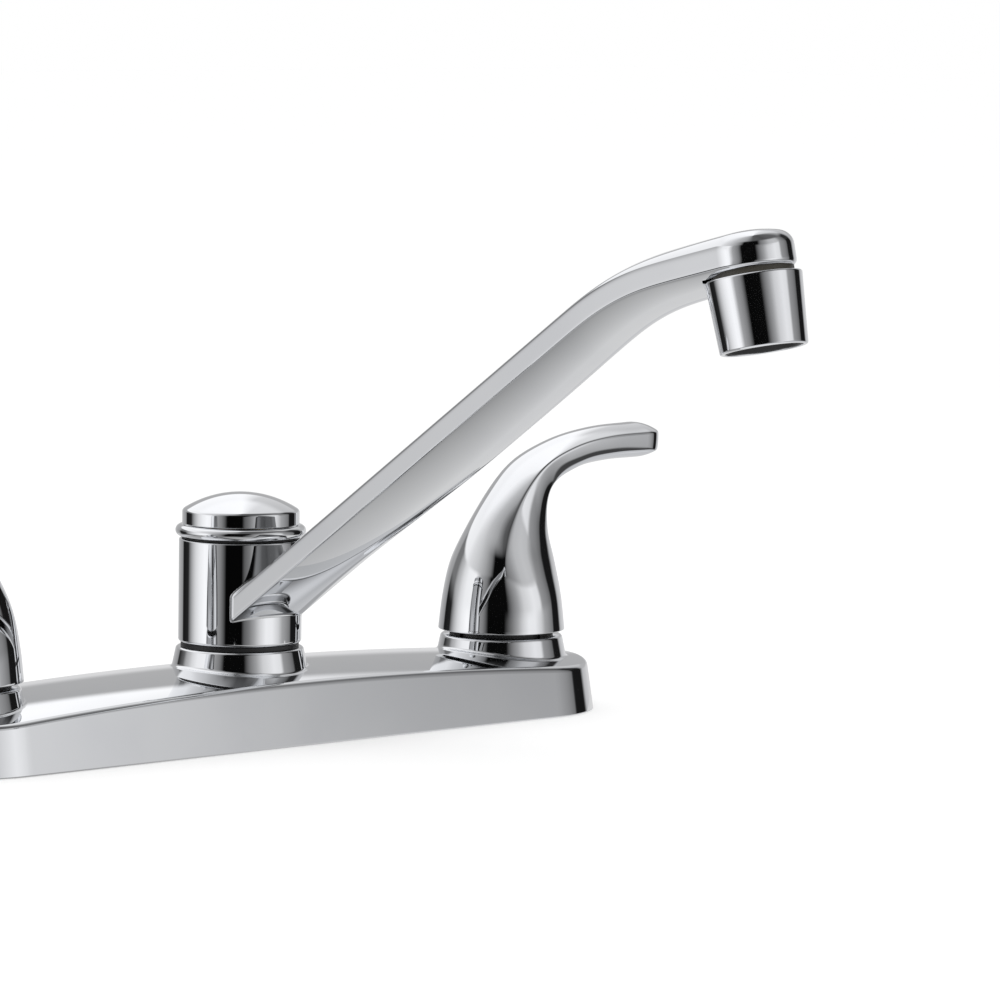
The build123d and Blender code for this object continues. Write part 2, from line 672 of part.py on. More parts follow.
for side, sign in (("hot", -1), ("cold", 1)):
    x = sign * handle_x

    with BuildPart() as valve_body:
        with BuildSketch(axis_plane(x)):
            Polygon(
                (0, -shank_length), (shank_radius, -shank_length),
                (shank_radius, relief_top - shank_relief_width),
                (shank_relief_radius, relief_top - shank_relief_width),
                (shank_relief_radius, relief_top), (shank_radius, relief_top),
                (shank_radius, gasket_thickness),
                (valve_flange_radius, gasket_thickness),
                (valve_flange_radius, gasket_thickness + valve_flange_thickness),
                (valve_body_radius, gasket_thickness + valve_flange_thickness),
                (valve_body_radius, valve_body_top), (0, valve_body_top), align=None
            )
        revolve(axis=upright(x))
        with BuildSketch(axis_plane(x)):
            Polygon(
                (0, valve_chamber_floor), (valve_chamber_radius, valve_chamber_floor),
                (valve_chamber_radius, valve_body_top - bonnet_thread_depth),
                (bonnet_thread_radius, valve_body_top - bonnet_thread_depth),
                (bonnet_thread_radius, valve_body_top + 1), (0, valve_body_top + 1), align=None
            )
        revolve(axis=upright(x), mode=Mode.SUBTRACT)
        with BuildSketch(Plane.XY.offset(-shank_length)):
            with Locations((x, 0)):
                Circle(shank_bore)
        extrude(amount=shank_length + spring_bottom - seat_floor_thickness, mode=Mode.SUBTRACT)
        with BuildSketch(Plane.XY.offset(spring_bottom)):
            with Locations((x, seat_offset)):
                Circle(seat_radius + thread_gap)
        extrude(amount=valve_chamber_floor - spring_bottom, mode=Mode.SUBTRACT)
        with BuildSketch(Plane.XY.offset(spring_bottom - seat_floor_thickness - 1)):
            with Locations((x, seat_offset)):
                Circle(seat_spring_radius - seat_spring_wire - 0.3)
        extrude(amount=seat_floor_thickness + 2, mode=Mode.SUBTRACT)
        with BuildSketch(Plane.YZ.offset(x - sign * (valve_body_radius - tube_socket_depth))):
            with Locations((0, tube_height)):
                Circle(tube_radius + thread_gap)
        extrude(amount=-sign * (valve_flange_radius - valve_body_radius + tube_socket_depth + 1),
                mode=Mode.SUBTRACT)
        with BuildSketch(Plane.YZ.offset(x - sign * valve_chamber_radius / 2)):
            with Locations((0, tube_height)):
                Circle(tube_radius - tube_wall)
        extrude(amount=-sign * valve_chamber_radius, mode=Mode.SUBTRACT)
    export(valve_body.part, f"{side}_valve_body")

    with BuildPart() as valve_seat:
        with BuildSketch(Plane.XY.offset(seat_bottom)):
            with Locations((x, seat_offset)):
                Circle(seat_radius)
                Circle(seat_radius / 2, mode=Mode.SUBTRACT)
        extrude(amount=seat_height)
    export(valve_seat.part, f"{side}_valve_seat")

    with BuildPart() as seat_spring:
        coil_length = seat_spring_length - seat_spring_wire - 0.1
        coil_start = spring_bottom + seat_spring_wire / 2 + 0.05
        coil_radius = seat_spring_radius - seat_spring_wire / 2
        with BuildLine(mode=Mode.PRIVATE) as coil:
            Helix(pitch=coil_length / seat_spring_turns, height=coil_length, radius=coil_radius,
                  center=(x, seat_offset, coil_start))
        with BuildSketch(Plane(origin=coil.line @ 0, z_dir=coil.line % 0)):
            RegularPolygon(seat_spring_wire / 2, 8)
        sweep(path=coil.wires()[0], is_frenet=True)
    export(seat_spring.part, f"{side}_seat_spring")

    with BuildPart() as stem:
        with BuildSketch(axis_plane(x)):
            Polygon(
                (0, seat_top), (piston_radius, seat_top), (piston_radius, plate_top),
                (stem_waist, plate_top), (stem_waist, piston_bottom),
                (piston_radius, piston_bottom), (piston_radius, piston_top),
                (stem_radius, piston_top), (stem_radius, stem_top), (0, stem_top), align=None
            )
            with Locations((piston_radius, piston_middle)):
                Rectangle(2 * stem_groove_depth, stem_o_ring_wire + 0.2, mode=Mode.SUBTRACT)
        revolve(axis=upright(x))
        with BuildSketch(Plane.XY.offset(seat_top)):
            with Locations((x - sign * seat_offset, 0)):
                Circle(seat_radius - 0.4)
        extrude(amount=stem_plate_thickness, mode=Mode.SUBTRACT)
        with BuildSketch(Plane.XY.offset(bell_hollow_top)):
            with Locations((x + sign * (stem_flat + stem_radius), 0)):
                Rectangle(2 * stem_radius, 4 * stem_radius)
        extrude(amount=stem_top - bell_hollow_top + 1, mode=Mode.SUBTRACT)
    export(stem.part, f"{side}_stem")

    with BuildPart() as stem_o_ring:
        with BuildSketch(axis_plane(x)):
            with Locations((piston_radius - stem_o_ring_wire / 2, piston_middle)):
                Circle(stem_o_ring_wire / 2)
        revolve(axis=upright(x))
    export(stem_o_ring.part, f"{side}_stem_o_ring")

    with BuildPart() as bonnet_nut:
        with BuildSketch(Plane.XY.offset(valve_body_top - bonnet_thread_depth)):
            with Locations((x, 0)):
                Circle(bonnet_thread_radius - thread_gap)
        extrude(amount=bonnet_thread_depth)
        with BuildSketch(Plane.XY.offset(valve_body_top)):
            with Locations((x, 0)):
                RegularPolygon(bonnet_hex_flats / 2, 6, major_radius=False)
        extrude(amount=bonnet_hex_height)
        chamfer(bonnet_nut.faces().sort_by(Axis.Z)[-1].edges(), length=0.5)
        with BuildSketch(Plane.XY.offset(valve_body_top - bonnet_thread_depth)):
            with Locations((x, 0)):
                Circle(stem_radius + running_gap)
        extrude(amount=bonnet_thread_depth + bonnet_hex_height, mode=Mode.SUBTRACT)
    export(bonnet_nut.part, f"{side}_bonnet_nut")

    with BuildPart() as cover_locknut:
        with BuildSketch(Plane.XY.offset(handle_boss_height)):
            with Locations((x, 0)):
                Circle(locknut_radius)
                Circle(valve_body_radius + thread_gap, mode=Mode.SUBTRACT)
                with PolarLocations(locknut_radius, 4):
                    Rectangle(2.0, 3.0, mode=Mode.SUBTRACT)
        extrude(amount=locknut_height)
    export(cover_locknut.part, f"{side}_cover_locknut")

    with BuildPart() as bridge_tube:
        with BuildSketch(Plane.YZ.offset(sign * tube_start)):
            with Locations((0, tube_height)):
                Circle(tube_radius)
                Circle(tube_radius - tube_wall, mode=Mode.SUBTRACT)
        extrude(amount=sign * (tube_end - tube_start))
    export(bridge_tube.part, f"{side}_bridge_tube")

    with BuildPart() as handle_screw:
        with BuildSketch(Plane.YZ.offset(x + sign * (stem_flat + running_gap))):
            with Locations((0, handle_screw_height)):
                Circle(handle_screw_radius)
        extrude(amount=sign * handle_screw_length)
        with BuildSketch(Plane.YZ.offset(x + sign * (stem_flat + running_gap + handle_screw_length))):
            with Locations((0, handle_screw_height)):
                RegularPolygon(1.25, 6, major_radius=False)
        extrude(amount=-sign * 2.5, mode=Mode.SUBTRACT)
    export(handle_screw.part, f"{side}_handle_screw")

    with BuildPart() as mounting_washer:
        with BuildSketch(Plane.XY.offset(-deck_thickness - mounting_washer_thickness)):
            with Locations((x, 0)):
                Circle(mounting_washer_radius)
                Circle(shank_radius + loose_gap, mode=Mode.SUBTRACT)
        extrude(amount=mounting_washer_thickness)
    export(mounting_washer.part, f"{side}_mounting_washer")

    with BuildPart() as mounting_nut:
        with BuildSketch(Plane.XY.offset(nut_base)):
            with Locations((x, 0)):
                Circle(mounting_nut_radius)
                Rectangle(mounting_wing_span, mounting_wing_thickness)
        extrude(amount=mounting_nut_height)
        with BuildSketch(Plane.XY.offset(nut_base)):
            with Locations((x, 0)):
                Circle(shank_radius + thread_gap)
        extrude(amount=mounting_nut_height, mode=Mode.SUBTRACT)
    export(mounting_nut.part, f"{side}_mounting_nut")
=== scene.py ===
# %% [markdown]
# # Two handle kitchen faucet
# A deck mounted faucet: a crowned cover plate, a swivelling spout on a short hub and two lever
# handles, all in bright chrome plate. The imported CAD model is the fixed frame. It is loaded first,
# so that each visible skin is built in the same place and size as the solid that it stands for.

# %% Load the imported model
import math

import bmesh
import bpy
import numpy as np
from mathutils import Matrix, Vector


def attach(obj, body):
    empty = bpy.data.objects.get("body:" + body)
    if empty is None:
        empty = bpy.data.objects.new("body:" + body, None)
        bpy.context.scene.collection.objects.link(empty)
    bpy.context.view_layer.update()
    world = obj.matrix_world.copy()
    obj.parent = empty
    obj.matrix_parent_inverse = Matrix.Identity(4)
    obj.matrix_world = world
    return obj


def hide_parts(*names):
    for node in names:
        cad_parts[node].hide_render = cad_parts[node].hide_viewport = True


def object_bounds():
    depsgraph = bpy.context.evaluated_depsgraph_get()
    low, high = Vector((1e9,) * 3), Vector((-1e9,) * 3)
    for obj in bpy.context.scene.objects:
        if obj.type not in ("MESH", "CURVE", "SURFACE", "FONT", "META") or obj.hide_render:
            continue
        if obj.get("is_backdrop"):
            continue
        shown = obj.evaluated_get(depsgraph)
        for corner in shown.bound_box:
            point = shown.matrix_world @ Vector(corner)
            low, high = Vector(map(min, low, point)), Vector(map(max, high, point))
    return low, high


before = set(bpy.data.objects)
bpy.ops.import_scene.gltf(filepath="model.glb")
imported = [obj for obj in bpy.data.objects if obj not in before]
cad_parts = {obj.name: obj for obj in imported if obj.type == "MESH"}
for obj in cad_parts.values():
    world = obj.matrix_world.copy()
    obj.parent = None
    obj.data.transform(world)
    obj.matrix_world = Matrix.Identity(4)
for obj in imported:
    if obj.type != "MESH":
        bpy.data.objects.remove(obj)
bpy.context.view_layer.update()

# %% [markdown]
# ## Tools for making skins
# Mirror bright metal shows every facet and every dent of a mesh. A box model with a subdivision
# surface would be quick, but its surface only comes near the real one. Here each skin is a net of
# rows and columns whose points lie on the true surface, with close rows on both sides of every
# small round, so that smooth shading stays true right up to the edge. Sizes are in millimetres.

# %% Arcs, rounds and soft outlines
def unit(v):
    v = np.asarray(v, float)
    return v / np.linalg.norm(v, axis=-1, keepdims=True)


def arc_through(start, middle, end, count):
    """Points on the circle through three points of a plane, without the last one."""
    (ax, ay), (bx, by), (cx, cy) = start, middle, end
    share = np.linspace(0, 1, count, endpoint=False)[:, None]
    d = 2 * (ax * (by - cy) + bx * (cy - ay) + cx * (ay - by))
    if abs(d) < 1e-9:
        return np.array(start) * (1 - share) + np.array(end) * share
    a2, b2, c2 = ax * ax + ay * ay, bx * bx + by * by, cx * cx + cy * cy
    centre = np.array([(a2 * (by - cy) + b2 * (cy - ay) + c2 * (ay - by)) / d,
                       (a2 * (cx - bx) + b2 * (ax - cx) + c2 * (bx - ax)) / d])
    angle = [math.atan2(p[1] - centre[1], p[0] - centre[0]) for p in (start, middle, end)]
    to_middle, to_end = [(a - angle[0]) % (2 * math.pi) for a in angle[1:]]
    sweep = to_end if to_middle <= to_end else to_end - 2 * math.pi
    radius = math.dist(centre, start)
    turn = angle[0] + sweep * share
    return centre + radius * np.hstack([np.cos(turn), np.sin(turn)])


def turned_edge(start, corner, end, steps):
    """Rows that round off a corner between two rows of points: an arc where both legs are equal."""
    start, corner, end = np.asarray(start), np.asarray(corner), np.asarray(end)
    opening = (unit(start - corner) * unit(end - corner)).sum(-1, keepdims=True)
    weight = np.sqrt(np.clip((1 - opening) / 2, 1e-6, 1))
    rows = []
    for t in np.linspace(0, 1, steps + 1):
        total = (1 - t)**2 + 2 * weight * t * (1 - t) + t * t
        rows.append(((1 - t)**2 * start + 2 * weight * t * (1 - t) * corner + t * t * end) / total)
    return rows


def rounded_profile(corners, steps=6, near=0.05):
    """Closed outline of (radius, height, round) corners, with a close point each side of a round."""
    points = [np.array(c[:2], float) for c in corners]
    out = []
    for i, (_, _, size) in enumerate(corners):
        here, before, after = points[i], points[i - 1], points[(i + 1) % len(points)]
        if size == 0:
            out.append(here)
            continue
        u, v = unit(before - here), unit(after - here)
        half = math.acos(float(np.clip(u @ v, -1, 1))) / 2
        leg = min(size / math.tan(half), 0.46 * math.dist(before, here), 0.46 * math.dist(after, here))
        out.append(here + u * (leg + near))
        out += turned_edge(here + u * leg, here, here + v * leg, steps)
        out.append(here + v * (leg + near))
    return np.array(out)


def closed(outline):
    """An outline with its first point again at its end."""
    return np.vstack([outline, outline[:1]])


def length_along(points):
    steps = np.linalg.norm(np.diff(points, axis=0), axis=1)
    return np.concatenate([[0], np.cumsum(steps)])


def softened(outline, sigma, marks, dense=1024):
    """Closed outline with its corners softened over sigma, read at the given shares of its length."""
    ends = closed(outline)
    length = length_along(ends)
    even = np.linspace(0, length[-1], dense, endpoint=False)
    points = np.stack([np.interp(even, length, ends[:, k]) for k in range(ends.shape[1])], 1)
    wave = np.fft.rfftfreq(dense, d=length[-1] / dense)
    fade = np.exp(-2 * (math.pi * wave * sigma)**2)[:, None]
    ring = closed(np.fft.irfft(np.fft.rfft(points, axis=0) * fade, n=dense, axis=0))
    return np.stack([np.interp(np.asarray(marks) * dense, np.arange(dense + 1), ring[:, k])
                     for k in range(ring.shape[1])], 1)


def spread(count, crowd):
    """Shares from 0 to just under 1 that crowd towards both ends."""
    u = np.linspace(0, 1, count, endpoint=False)
    return (1 - crowd) * u + crowd * (0.5 - 0.5 * np.cos(math.pi * u))


def soft_section(runs, points, counts, crowd, sigma):
    """A closed section of arcs through three places each, softened, with its own count read on each."""
    outline = np.vstack([arc_through(*run, points) for run in runs])
    length = length_along(closed(outline))
    bounds = length[::points] / length[-1]
    marks = [a + (b - a) * spread(count, crowd) for a, b, count in zip(bounds[:-1], bounds[1:], counts)]
    return softened(outline, sigma, np.concatenate(marks))


def turned(profile, steps=144, origin=(0, 0, 0), across=(1, 0, 0), along=(0, 0, 1)):
    """The net of an outline (radius, height) turned once round an axis."""
    angle = np.linspace(0, 2 * math.pi, steps, endpoint=False)[:, None]
    across, along = unit(across), unit(along)
    ring = np.cos(angle) * across + np.sin(angle) * np.cross(along, across)
    profile = np.asarray(profile, float)
    return np.array(origin) + profile[:, :1, None] * ring[None] + profile[:, 1:2, None] * along


print("rounds, arcs and turned nets are ready")

# %% [markdown]
# ## From a net to a piece
# Each net becomes one closed mesh. Where rows meet in a point or close on themselves, points lie on
# each other, so they are merged, and the faces are turned outwards. All of this could be done by
# hand in edit mode. A function does the same to every piece and counts its open edges, which should
# be 0. A hole is cut by a boolean that is used once and then made part of the mesh.

# %% Make one piece from its net
millimetre = 0.001
merge_distance = 2e-6


def new_object(name, mesh):
    made = bpy.data.objects.new(name, mesh)
    bpy.context.scene.collection.objects.link(made)
    return made


def net_mesh(name, net):
    """A mesh from a net of rows, merged, with its faces outwards, and the number of its open edges."""
    net = np.asarray(net, float)
    rows, columns = net.shape[:2]
    index = np.arange(rows * columns).reshape(rows, columns)
    after = np.roll(index, -1, axis=1)
    faces = np.stack([index[:-1], after[:-1], after[1:], index[1:]], -1).reshape(-1, 4)
    mesh = bpy.data.meshes.new(name)
    mesh.from_pydata((net.reshape(-1, 3) * millimetre).tolist(), [], faces.tolist())
    work = bmesh.new()
    work.from_mesh(mesh)
    bmesh.ops.remove_doubles(work, verts=work.verts, dist=merge_distance)
    bmesh.ops.recalc_face_normals(work, faces=work.faces)
    if work.calc_volume(signed=True) < 0:
        bmesh.ops.reverse_faces(work, faces=work.faces)
    open_edges = sum(1 for edge in work.edges if len(edge.link_faces) != 2)
    work.to_mesh(mesh)
    work.free()
    return mesh, open_edges


def settle(piece):
    """Makes what the modifiers show the piece's own plain mesh."""
    view = bpy.context.evaluated_depsgraph_get()
    made = bpy.data.meshes.new_from_object(piece.evaluated_get(view))
    piece.modifiers.clear()
    piece.data = made


def rod(radius, near, far, origin, across, along, steps):
    """Closed round bar between two heights on an axis, used once to cut a hole."""
    outline = [(0, near), (radius, near), (radius, far), (0, far)]
    return new_object("cutter", net_mesh("cutter", turned(outline, steps, origin, across, along))[0])


def cut_away(piece, cutter):
    """Takes the cutter's space out of a piece."""
    tool = piece.modifiers.new("cut", "BOOLEAN")
    tool.operation, tool.solver, tool.object = "DIFFERENCE", "EXACT", cutter
    settle(piece)
    bpy.data.objects.remove(cutter)


def dress(piece, body, finish, nodes=(), open_edges=0):
    """Finish, smooth shading and place in the frame for a finished mesh."""
    piece.data.materials.clear()
    piece.data.materials.append(finish)
    piece.data.shade_smooth()
    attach(piece, body)
    if nodes:
        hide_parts(*nodes)
    print(f"{piece.name}: {len(piece.data.polygons)} faces, {open_edges} open edges")


def skin(name, net, body, finish, nodes=(), cutters=()):
    """A closed piece from a net of rows, with its holes cut, riding on its body."""
    mesh, open_edges = net_mesh(name, net)
    piece = new_object(name, mesh)
    for cutter in cutters:
        cut_away(piece, cutter)
    dress(piece, body, finish, nodes, open_edges)


print("pieces can be made")

# %% [markdown]
# ## Finishes
# Every finish is drawn by nodes on object coordinates, so it stays put from any side. One shared
# group gives the marks that all of them have in their own strength: soft smudges from wiping,
# hair fine scratches and a fine grain. Each material then turns those into colour, roughness and
# bump with its own values.

# %% Nodes with their inputs
def feed(tree, node, given):
    """Gives a node its inputs by name or number: a socket is linked, anything else is set."""
    for name, value in given.items():
        if isinstance(value, bpy.types.NodeSocket):
            tree.links.new(value, node.inputs[name])
        else:
            node.inputs[name].default_value = value
    return node


def add_node(tree, kind, given=None, **settings):
    """A new node with its settings and its inputs."""
    made = tree.nodes.new(kind)
    for name, value in settings.items():
        setattr(made, name, value)
    return feed(tree, made, given or {})


print("nodes can be added and fed")

# %% Shared surface marks
def marks_group():
    """A mask of smudges, the wear of smudges with scratches, and the relief of scratches with grain."""
    tree = bpy.data.node_groups.new("surface_marks", "ShaderNodeTree")
    for socket, value in (("Smudge Scale", 30.0), ("Scratch Scale", 500.0), ("Grain Scale", 2500.0),
                          ("Scratch Strength", 0.3), ("Grain Strength", 0.3)):
        made = tree.interface.new_socket(socket, in_out="INPUT", socket_type="NodeSocketFloat")
        made.default_value = value
    for socket in ("Smudge", "Wear", "Relief"):
        tree.interface.new_socket(socket, in_out="OUTPUT", socket_type="NodeSocketFloat")
    given = add_node(tree, "NodeGroupInput").outputs
    place = add_node(tree, "ShaderNodeTexCoord").outputs["Object"]
    drawn = add_node(tree, "ShaderNodeMapping",
                     {"Vector": place, "Rotation": (0.3, 0.5, 0.9), "Scale": (1.0, 0.06, 0.4)})

    def noise(where, scale, detail):
        look = {"Vector": where, "Scale": given[scale], "Detail": detail}
        return add_node(tree, "ShaderNodeTexNoise", look).outputs["Fac"]

    def between(value, low, high, **settings):
        span = {"Value": value, "From Min": low, "From Max": high}
        return add_node(tree, "ShaderNodeMapRange", span, **settings).outputs["Result"]

    def added(value, strength, to):
        return add_node(tree, "ShaderNodeMath", {0: value, 1: given[strength], 2: to},
                        operation="MULTIPLY_ADD").outputs[0]

    smudge = between(noise(place, "Smudge Scale", 3), 0.38, 0.68, interpolation_type="SMOOTHSTEP")
    scratch = between(noise(drawn.outputs["Vector"], "Scratch Scale", 2), 0.66, 0.74)
    grain = noise(place, "Grain Scale", 2)
    add_node(tree, "NodeGroupOutput", {
        "Smudge": smudge, "Wear": added(scratch, "Scratch Strength", smudge),
        "Relief": added(grain, "Grain Strength", scratch)})
    return tree


surface_marks = marks_group()
print("shared group:", surface_marks.name)

# %% [markdown]
# ## Metals, rubber and plastics
# Chrome plate is nearly a mirror, so its marks change the roughness only a little. Bare brass,
# copper and steel are duller, and rubber and plastics have a fine grain. One even grey would do from
# afar, but up close no real metal is evenly bright, so each finish varies a little everywhere.

# %% Finishes made from it
def finish(name, colour, worn, rough, scratch, grain, depth, metallic=0.0):
    """A material whose colour goes to worn and whose roughness spans the range rough."""
    made = bpy.data.materials.new(name)
    made.use_nodes = True
    tree = made.node_tree
    marks = add_node(tree, "ShaderNodeGroup", node_tree=surface_marks)
    feed(tree, marks, {"Scratch Strength": scratch, "Grain Strength": grain})
    tint = add_node(tree, "ShaderNodeMix", {
        "Factor": marks.outputs["Smudge"], "A": (*colour, 1), "B": (*worn, 1)}, data_type="RGBA")
    span = add_node(tree, "ShaderNodeMapRange", {
        "Value": marks.outputs["Wear"], "From Max": 1.0 + scratch, "To Min": rough[0], "To Max": rough[1]})
    bump = add_node(tree, "ShaderNodeBump", {"Height": marks.outputs["Relief"], "Distance": depth})
    feed(tree, tree.nodes["Principled BSDF"], {
        "Metallic": metallic, "Base Color": tint.outputs["Result"], "Roughness": span.outputs["Result"],
        "Normal": bump.outputs["Normal"]})
    return made


chrome = finish("bright_chrome", (0.83, 0.84, 0.855), (0.80, 0.81, 0.83), (0.018, 0.05),
                metallic=1.0, scratch=0.2, grain=0.0, depth=4e-7)
brass = finish("raw_brass", (0.62, 0.44, 0.18), (0.50, 0.33, 0.13), (0.22, 0.42),
               metallic=1.0, scratch=0.5, grain=0.3, depth=1e-5)
copper = finish("dull_copper", (0.60, 0.28, 0.16), (0.42, 0.19, 0.12), (0.28, 0.5),
                metallic=1.0, scratch=0.5, grain=0.3, depth=1e-5)
steel = finish("plain_steel", (0.46, 0.46, 0.47), (0.38, 0.38, 0.38), (0.2, 0.38),
               metallic=1.0, scratch=0.8, grain=0.3, depth=1e-5)
rubber = finish("black_rubber", (0.018, 0.018, 0.018), (0.035, 0.034, 0.033), (0.5, 0.75),
                scratch=0.2, grain=1.0, depth=2e-5)
dark_plastic = finish("dark_plastic", (0.010, 0.010, 0.011), (0.018, 0.018, 0.019), (0.4, 0.6),
                      scratch=0.3, grain=0.6, depth=1e-5)
white_plastic = finish("white_plastic", (0.62, 0.62, 0.60), (0.52, 0.52, 0.49), (0.3, 0.45),
                       scratch=0.2, grain=0.5, depth=1e-5)
# Near black finish of the outlet spigot: painted shade for the dark gap under the head.
painted_spigot_shade = finish("spigot_painted_shade", (0.035, 0.032, 0.028), (0.06, 0.055, 0.045), (0.35, 0.55),
                 scratch=0.3, grain=0.5, depth=1e-5)
print("finishes:", [m.name for m in bpy.data.materials])

# %% [markdown]
# ## Deck cover
# The real cover is a thin shell, cast or pressed and then plated: walls that lean in, a softly
# turned top edge and a top that is crowned both ways. A bevelled block would do from afar, but its
# top would be flat. Here the top is read from the two crown radii. Every row follows the rounded plan
# outline: the rows start on the middle line of the top, so the crown has no seam, step out over the
# edge and down the wall, and come back on the inside.

# %% Crown and outline of the cover
cover_length, cover_width = 257.0, 59.0          # the ends are full rounds
spine_end = (cover_length - cover_width) / 2
cover_draft, cover_wall, edge_round = math.tan(math.radians(8.6)), 2.2, 1.4
crown_top, crown_long, crown_cross = 20.3, 1500.0, 135.0
handle_x = 101.6


def crown(x, y, drop=0.0):
    """Height of the crowned top."""
    sag = (crown_cross - drop) - np.sqrt((crown_cross - drop)**2 - y * y)
    return crown_top - crown_long + np.sqrt((crown_long - drop - sag)**2 - x * x)


def quarter_outline(inset, end=44, side=60):
    radius = cover_width / 2 - inset
    turn = [(spine_end + radius * math.cos(a), radius * math.sin(a))
            for a in np.linspace(0, math.pi / 2, end, endpoint=False)]
    along = [(spine_end * (1 - t), radius) for t in np.linspace(0, 1, side, endpoint=False)]
    return np.vstack([turn, along, [(0, radius)]])


def plan_outline(inset):
    """The whole outline, always with the same number of points."""
    q = quarter_outline(inset)
    half = np.vstack([q[:-1], (q * [-1, 1])[::-1]])
    return np.vstack([half[:-1], (half * [1, -1])[::-1][:-1]])


def at_height(points, z):
    return np.column_stack([points, np.broadcast_to(z, len(points))])


def on_crown(points, drop=0.0):
    return at_height(points, crown(points[:, 0], points[:, 1], drop))


print("plan outline of", len(plan_outline(0)), "points")

# %% Rim of the cover
wall_low, wall_high = 12.0, 20.0                 # the leaning wall meets the crown between these heights


def cover_rim(inset, drop):
    """The wall's outline where it would meet the crown if the edge were sharp."""
    low = plan_outline(inset + wall_low * cover_draft)
    high = plan_outline(inset + wall_high * cover_draft)
    z = np.full(len(low), (wall_low + wall_high) / 2)
    for _ in range(12):
        ring = low + (high - low) * ((z - wall_low) / (wall_high - wall_low))[:, None]
        z = crown(ring[:, 0], ring[:, 1], drop)
    return at_height(ring, z)


def inward(ring, distance):
    """The rim's points further in by a distance, square to the outline."""
    return ring[:, :2] + (plan_outline(3.0) - plan_outline(2.0)) * distance


outer_rim, inner_rim = cover_rim(0, 0), cover_rim(cover_wall, cover_wall)
foot = at_height(plan_outline(0), 0.0)
wall_top = outer_rim + unit(foot - outer_rim) * edge_round
crown_edge = on_crown(inward(outer_rim, edge_round))
middle = np.column_stack([np.clip(outer_rim[:, 0], -spine_end, spine_end), np.zeros(len(outer_rim))])
print(f"rim between {outer_rim[:, 2].min():.2f} and {outer_rim[:, 2].max():.2f} mm high")

# %% Cover shell
deep, inner_deep = inward(outer_rim, 7.0), inward(inner_rim, 5.0)
rows = [on_crown(deep + (middle - deep) * t) for t in np.linspace(1, 0, 12)]
rows += [on_crown(inward(outer_rim, d)) for d in (5.0, 3.4, 2.2, edge_round + 0.12)]
rows += turned_edge(crown_edge, outer_rim, wall_top, 9)
low_wall = foot + (wall_top - foot) * 0.03
rows += [wall_top + (low_wall - wall_top) * t for t in (0.01, 0.2, 0.45, 0.7, 1.0)]
foot_in = at_height(plan_outline(0.3), 0.0)
rows += turned_edge(foot + (wall_top - foot) * 0.018, foot, foot_in, 4)
inner_foot = at_height(plan_outline(cover_wall), 0.0)
rows += [inner_foot + (foot_in - inner_foot) * 0.05, inner_foot]
rows += [inner_foot + (inner_rim - inner_foot) * t for t in (0.02, 0.5, 0.97, 1.0)]
rows += [on_crown(inner_deep + (middle - inner_deep) * t, cover_wall) for t in np.linspace(0, 1, 9)]
hole_radius = 16.4
holes = [rod(hole_radius, 8, 30, (x, 0, 0), (1, 0, 0), (0, 0, 1), 96) for x in (-handle_x, 0, handle_x)]
skin("cover_shell", rows, "fixed_body", chrome, ["deck_cover"], holes)

# %% [markdown]
# ## Bosses
# Three short round bosses rise from the crown, one under each handle and one under the spout. They
# are cast in one with the cover, so a hollow runs round the foot of each. A plain ring set on top
# would leave a hard line there. Here the foot row follows the crown's height all the way round and
# an arc joins it to the boss's cone.

# %% Bosses that follow the crown
boss_foot, boss_hollow = 15.0, 0.8
boss_inside = crown_top - 5                      # where the rows close, below the crown
spout_boss_top, handle_boss_top = 25.4, 21.8


def boss_rows(x, top, top_radius, foot_radius, bore, edge, steps=128):
    angle = np.linspace(0, 2 * math.pi, steps, endpoint=False)
    ring = np.column_stack([np.cos(angle), np.sin(angle)])

    def cone(z):
        return top_radius + (foot_radius - top_radius) * (top - z) / (top - boss_foot)

    def circle(radius, z):
        return at_height(ring * np.broadcast_to(radius, steps)[:, None] + [x, 0], z)

    z = np.full(steps, boss_foot + 2)
    for _ in range(10):
        z = crown(x + ring[:, 0] * cone(z), ring[:, 1] * cone(z))
    below = on_crown(circle(cone(z) + boss_hollow, 0)[:, :2]) - [0, 0, 0.004]
    far = on_crown(circle(cone(z) + boss_hollow + 0.1, 0)[:, :2]) - [0, 0, 0.5]
    start = circle(cone(z + boss_hollow), z + boss_hollow)
    close = circle(cone(top - edge - 0.1), top - edge - 0.1)
    rows = [circle(bore, boss_inside), circle(bore, top - 0.3)]
    rows += turned_edge(circle(bore, top - 0.25), circle(bore, top), circle(bore + 0.25, top), 3)
    rows += [circle(radius, top) for radius in (bore + 0.4, (bore + top_radius) / 2, top_radius - edge - 0.1)]
    rows += turned_edge(circle(top_radius - edge, top), circle(top_radius, top),
                        circle(cone(top - edge), top - edge), 8)
    rows += [close, (close + start) / 2, start + unit(close - start) * 0.08]
    rows += turned_edge(start, circle(cone(z), z), below, 10)
    rows += [far, circle(hole_radius - 0.3, far[:, 2] - 0.2), circle(hole_radius - 0.3, boss_inside)]
    return rows + rows[:1]


for name, x, top, top_radius, foot_radius, bore, edge in (
        ("spout_boss", 0, spout_boss_top, 18.1, 20.3, 12.15, 0.6),
        ("hot_handle_boss", -handle_x, handle_boss_top, 17.9, 19.3, 13.2, 0.9),
        ("cold_handle_boss", handle_x, handle_boss_top, 17.9, 19.3, 13.2, 0.9)):
    skin(name, boss_rows(x, top, top_radius, foot_radius, bore, edge), "fixed_body", chrome,
         ["deck_cover"])

# %% [markdown]
# ## Spout casting
# Hub, arm and head are one casting. The arm has a crowned top, flat sides and a rounded belly, and
# it climbs straight before it bends over to the outlet. Curve tools could sweep one outline along a
# path, but this outline changes all the way. So the arm is a net: each row is the section at one
# place on the path, softened at its corners, and the columns then start on the hub, run along the
# arm, stop where the outlet ring needs room and turn round the outlet as the nose.

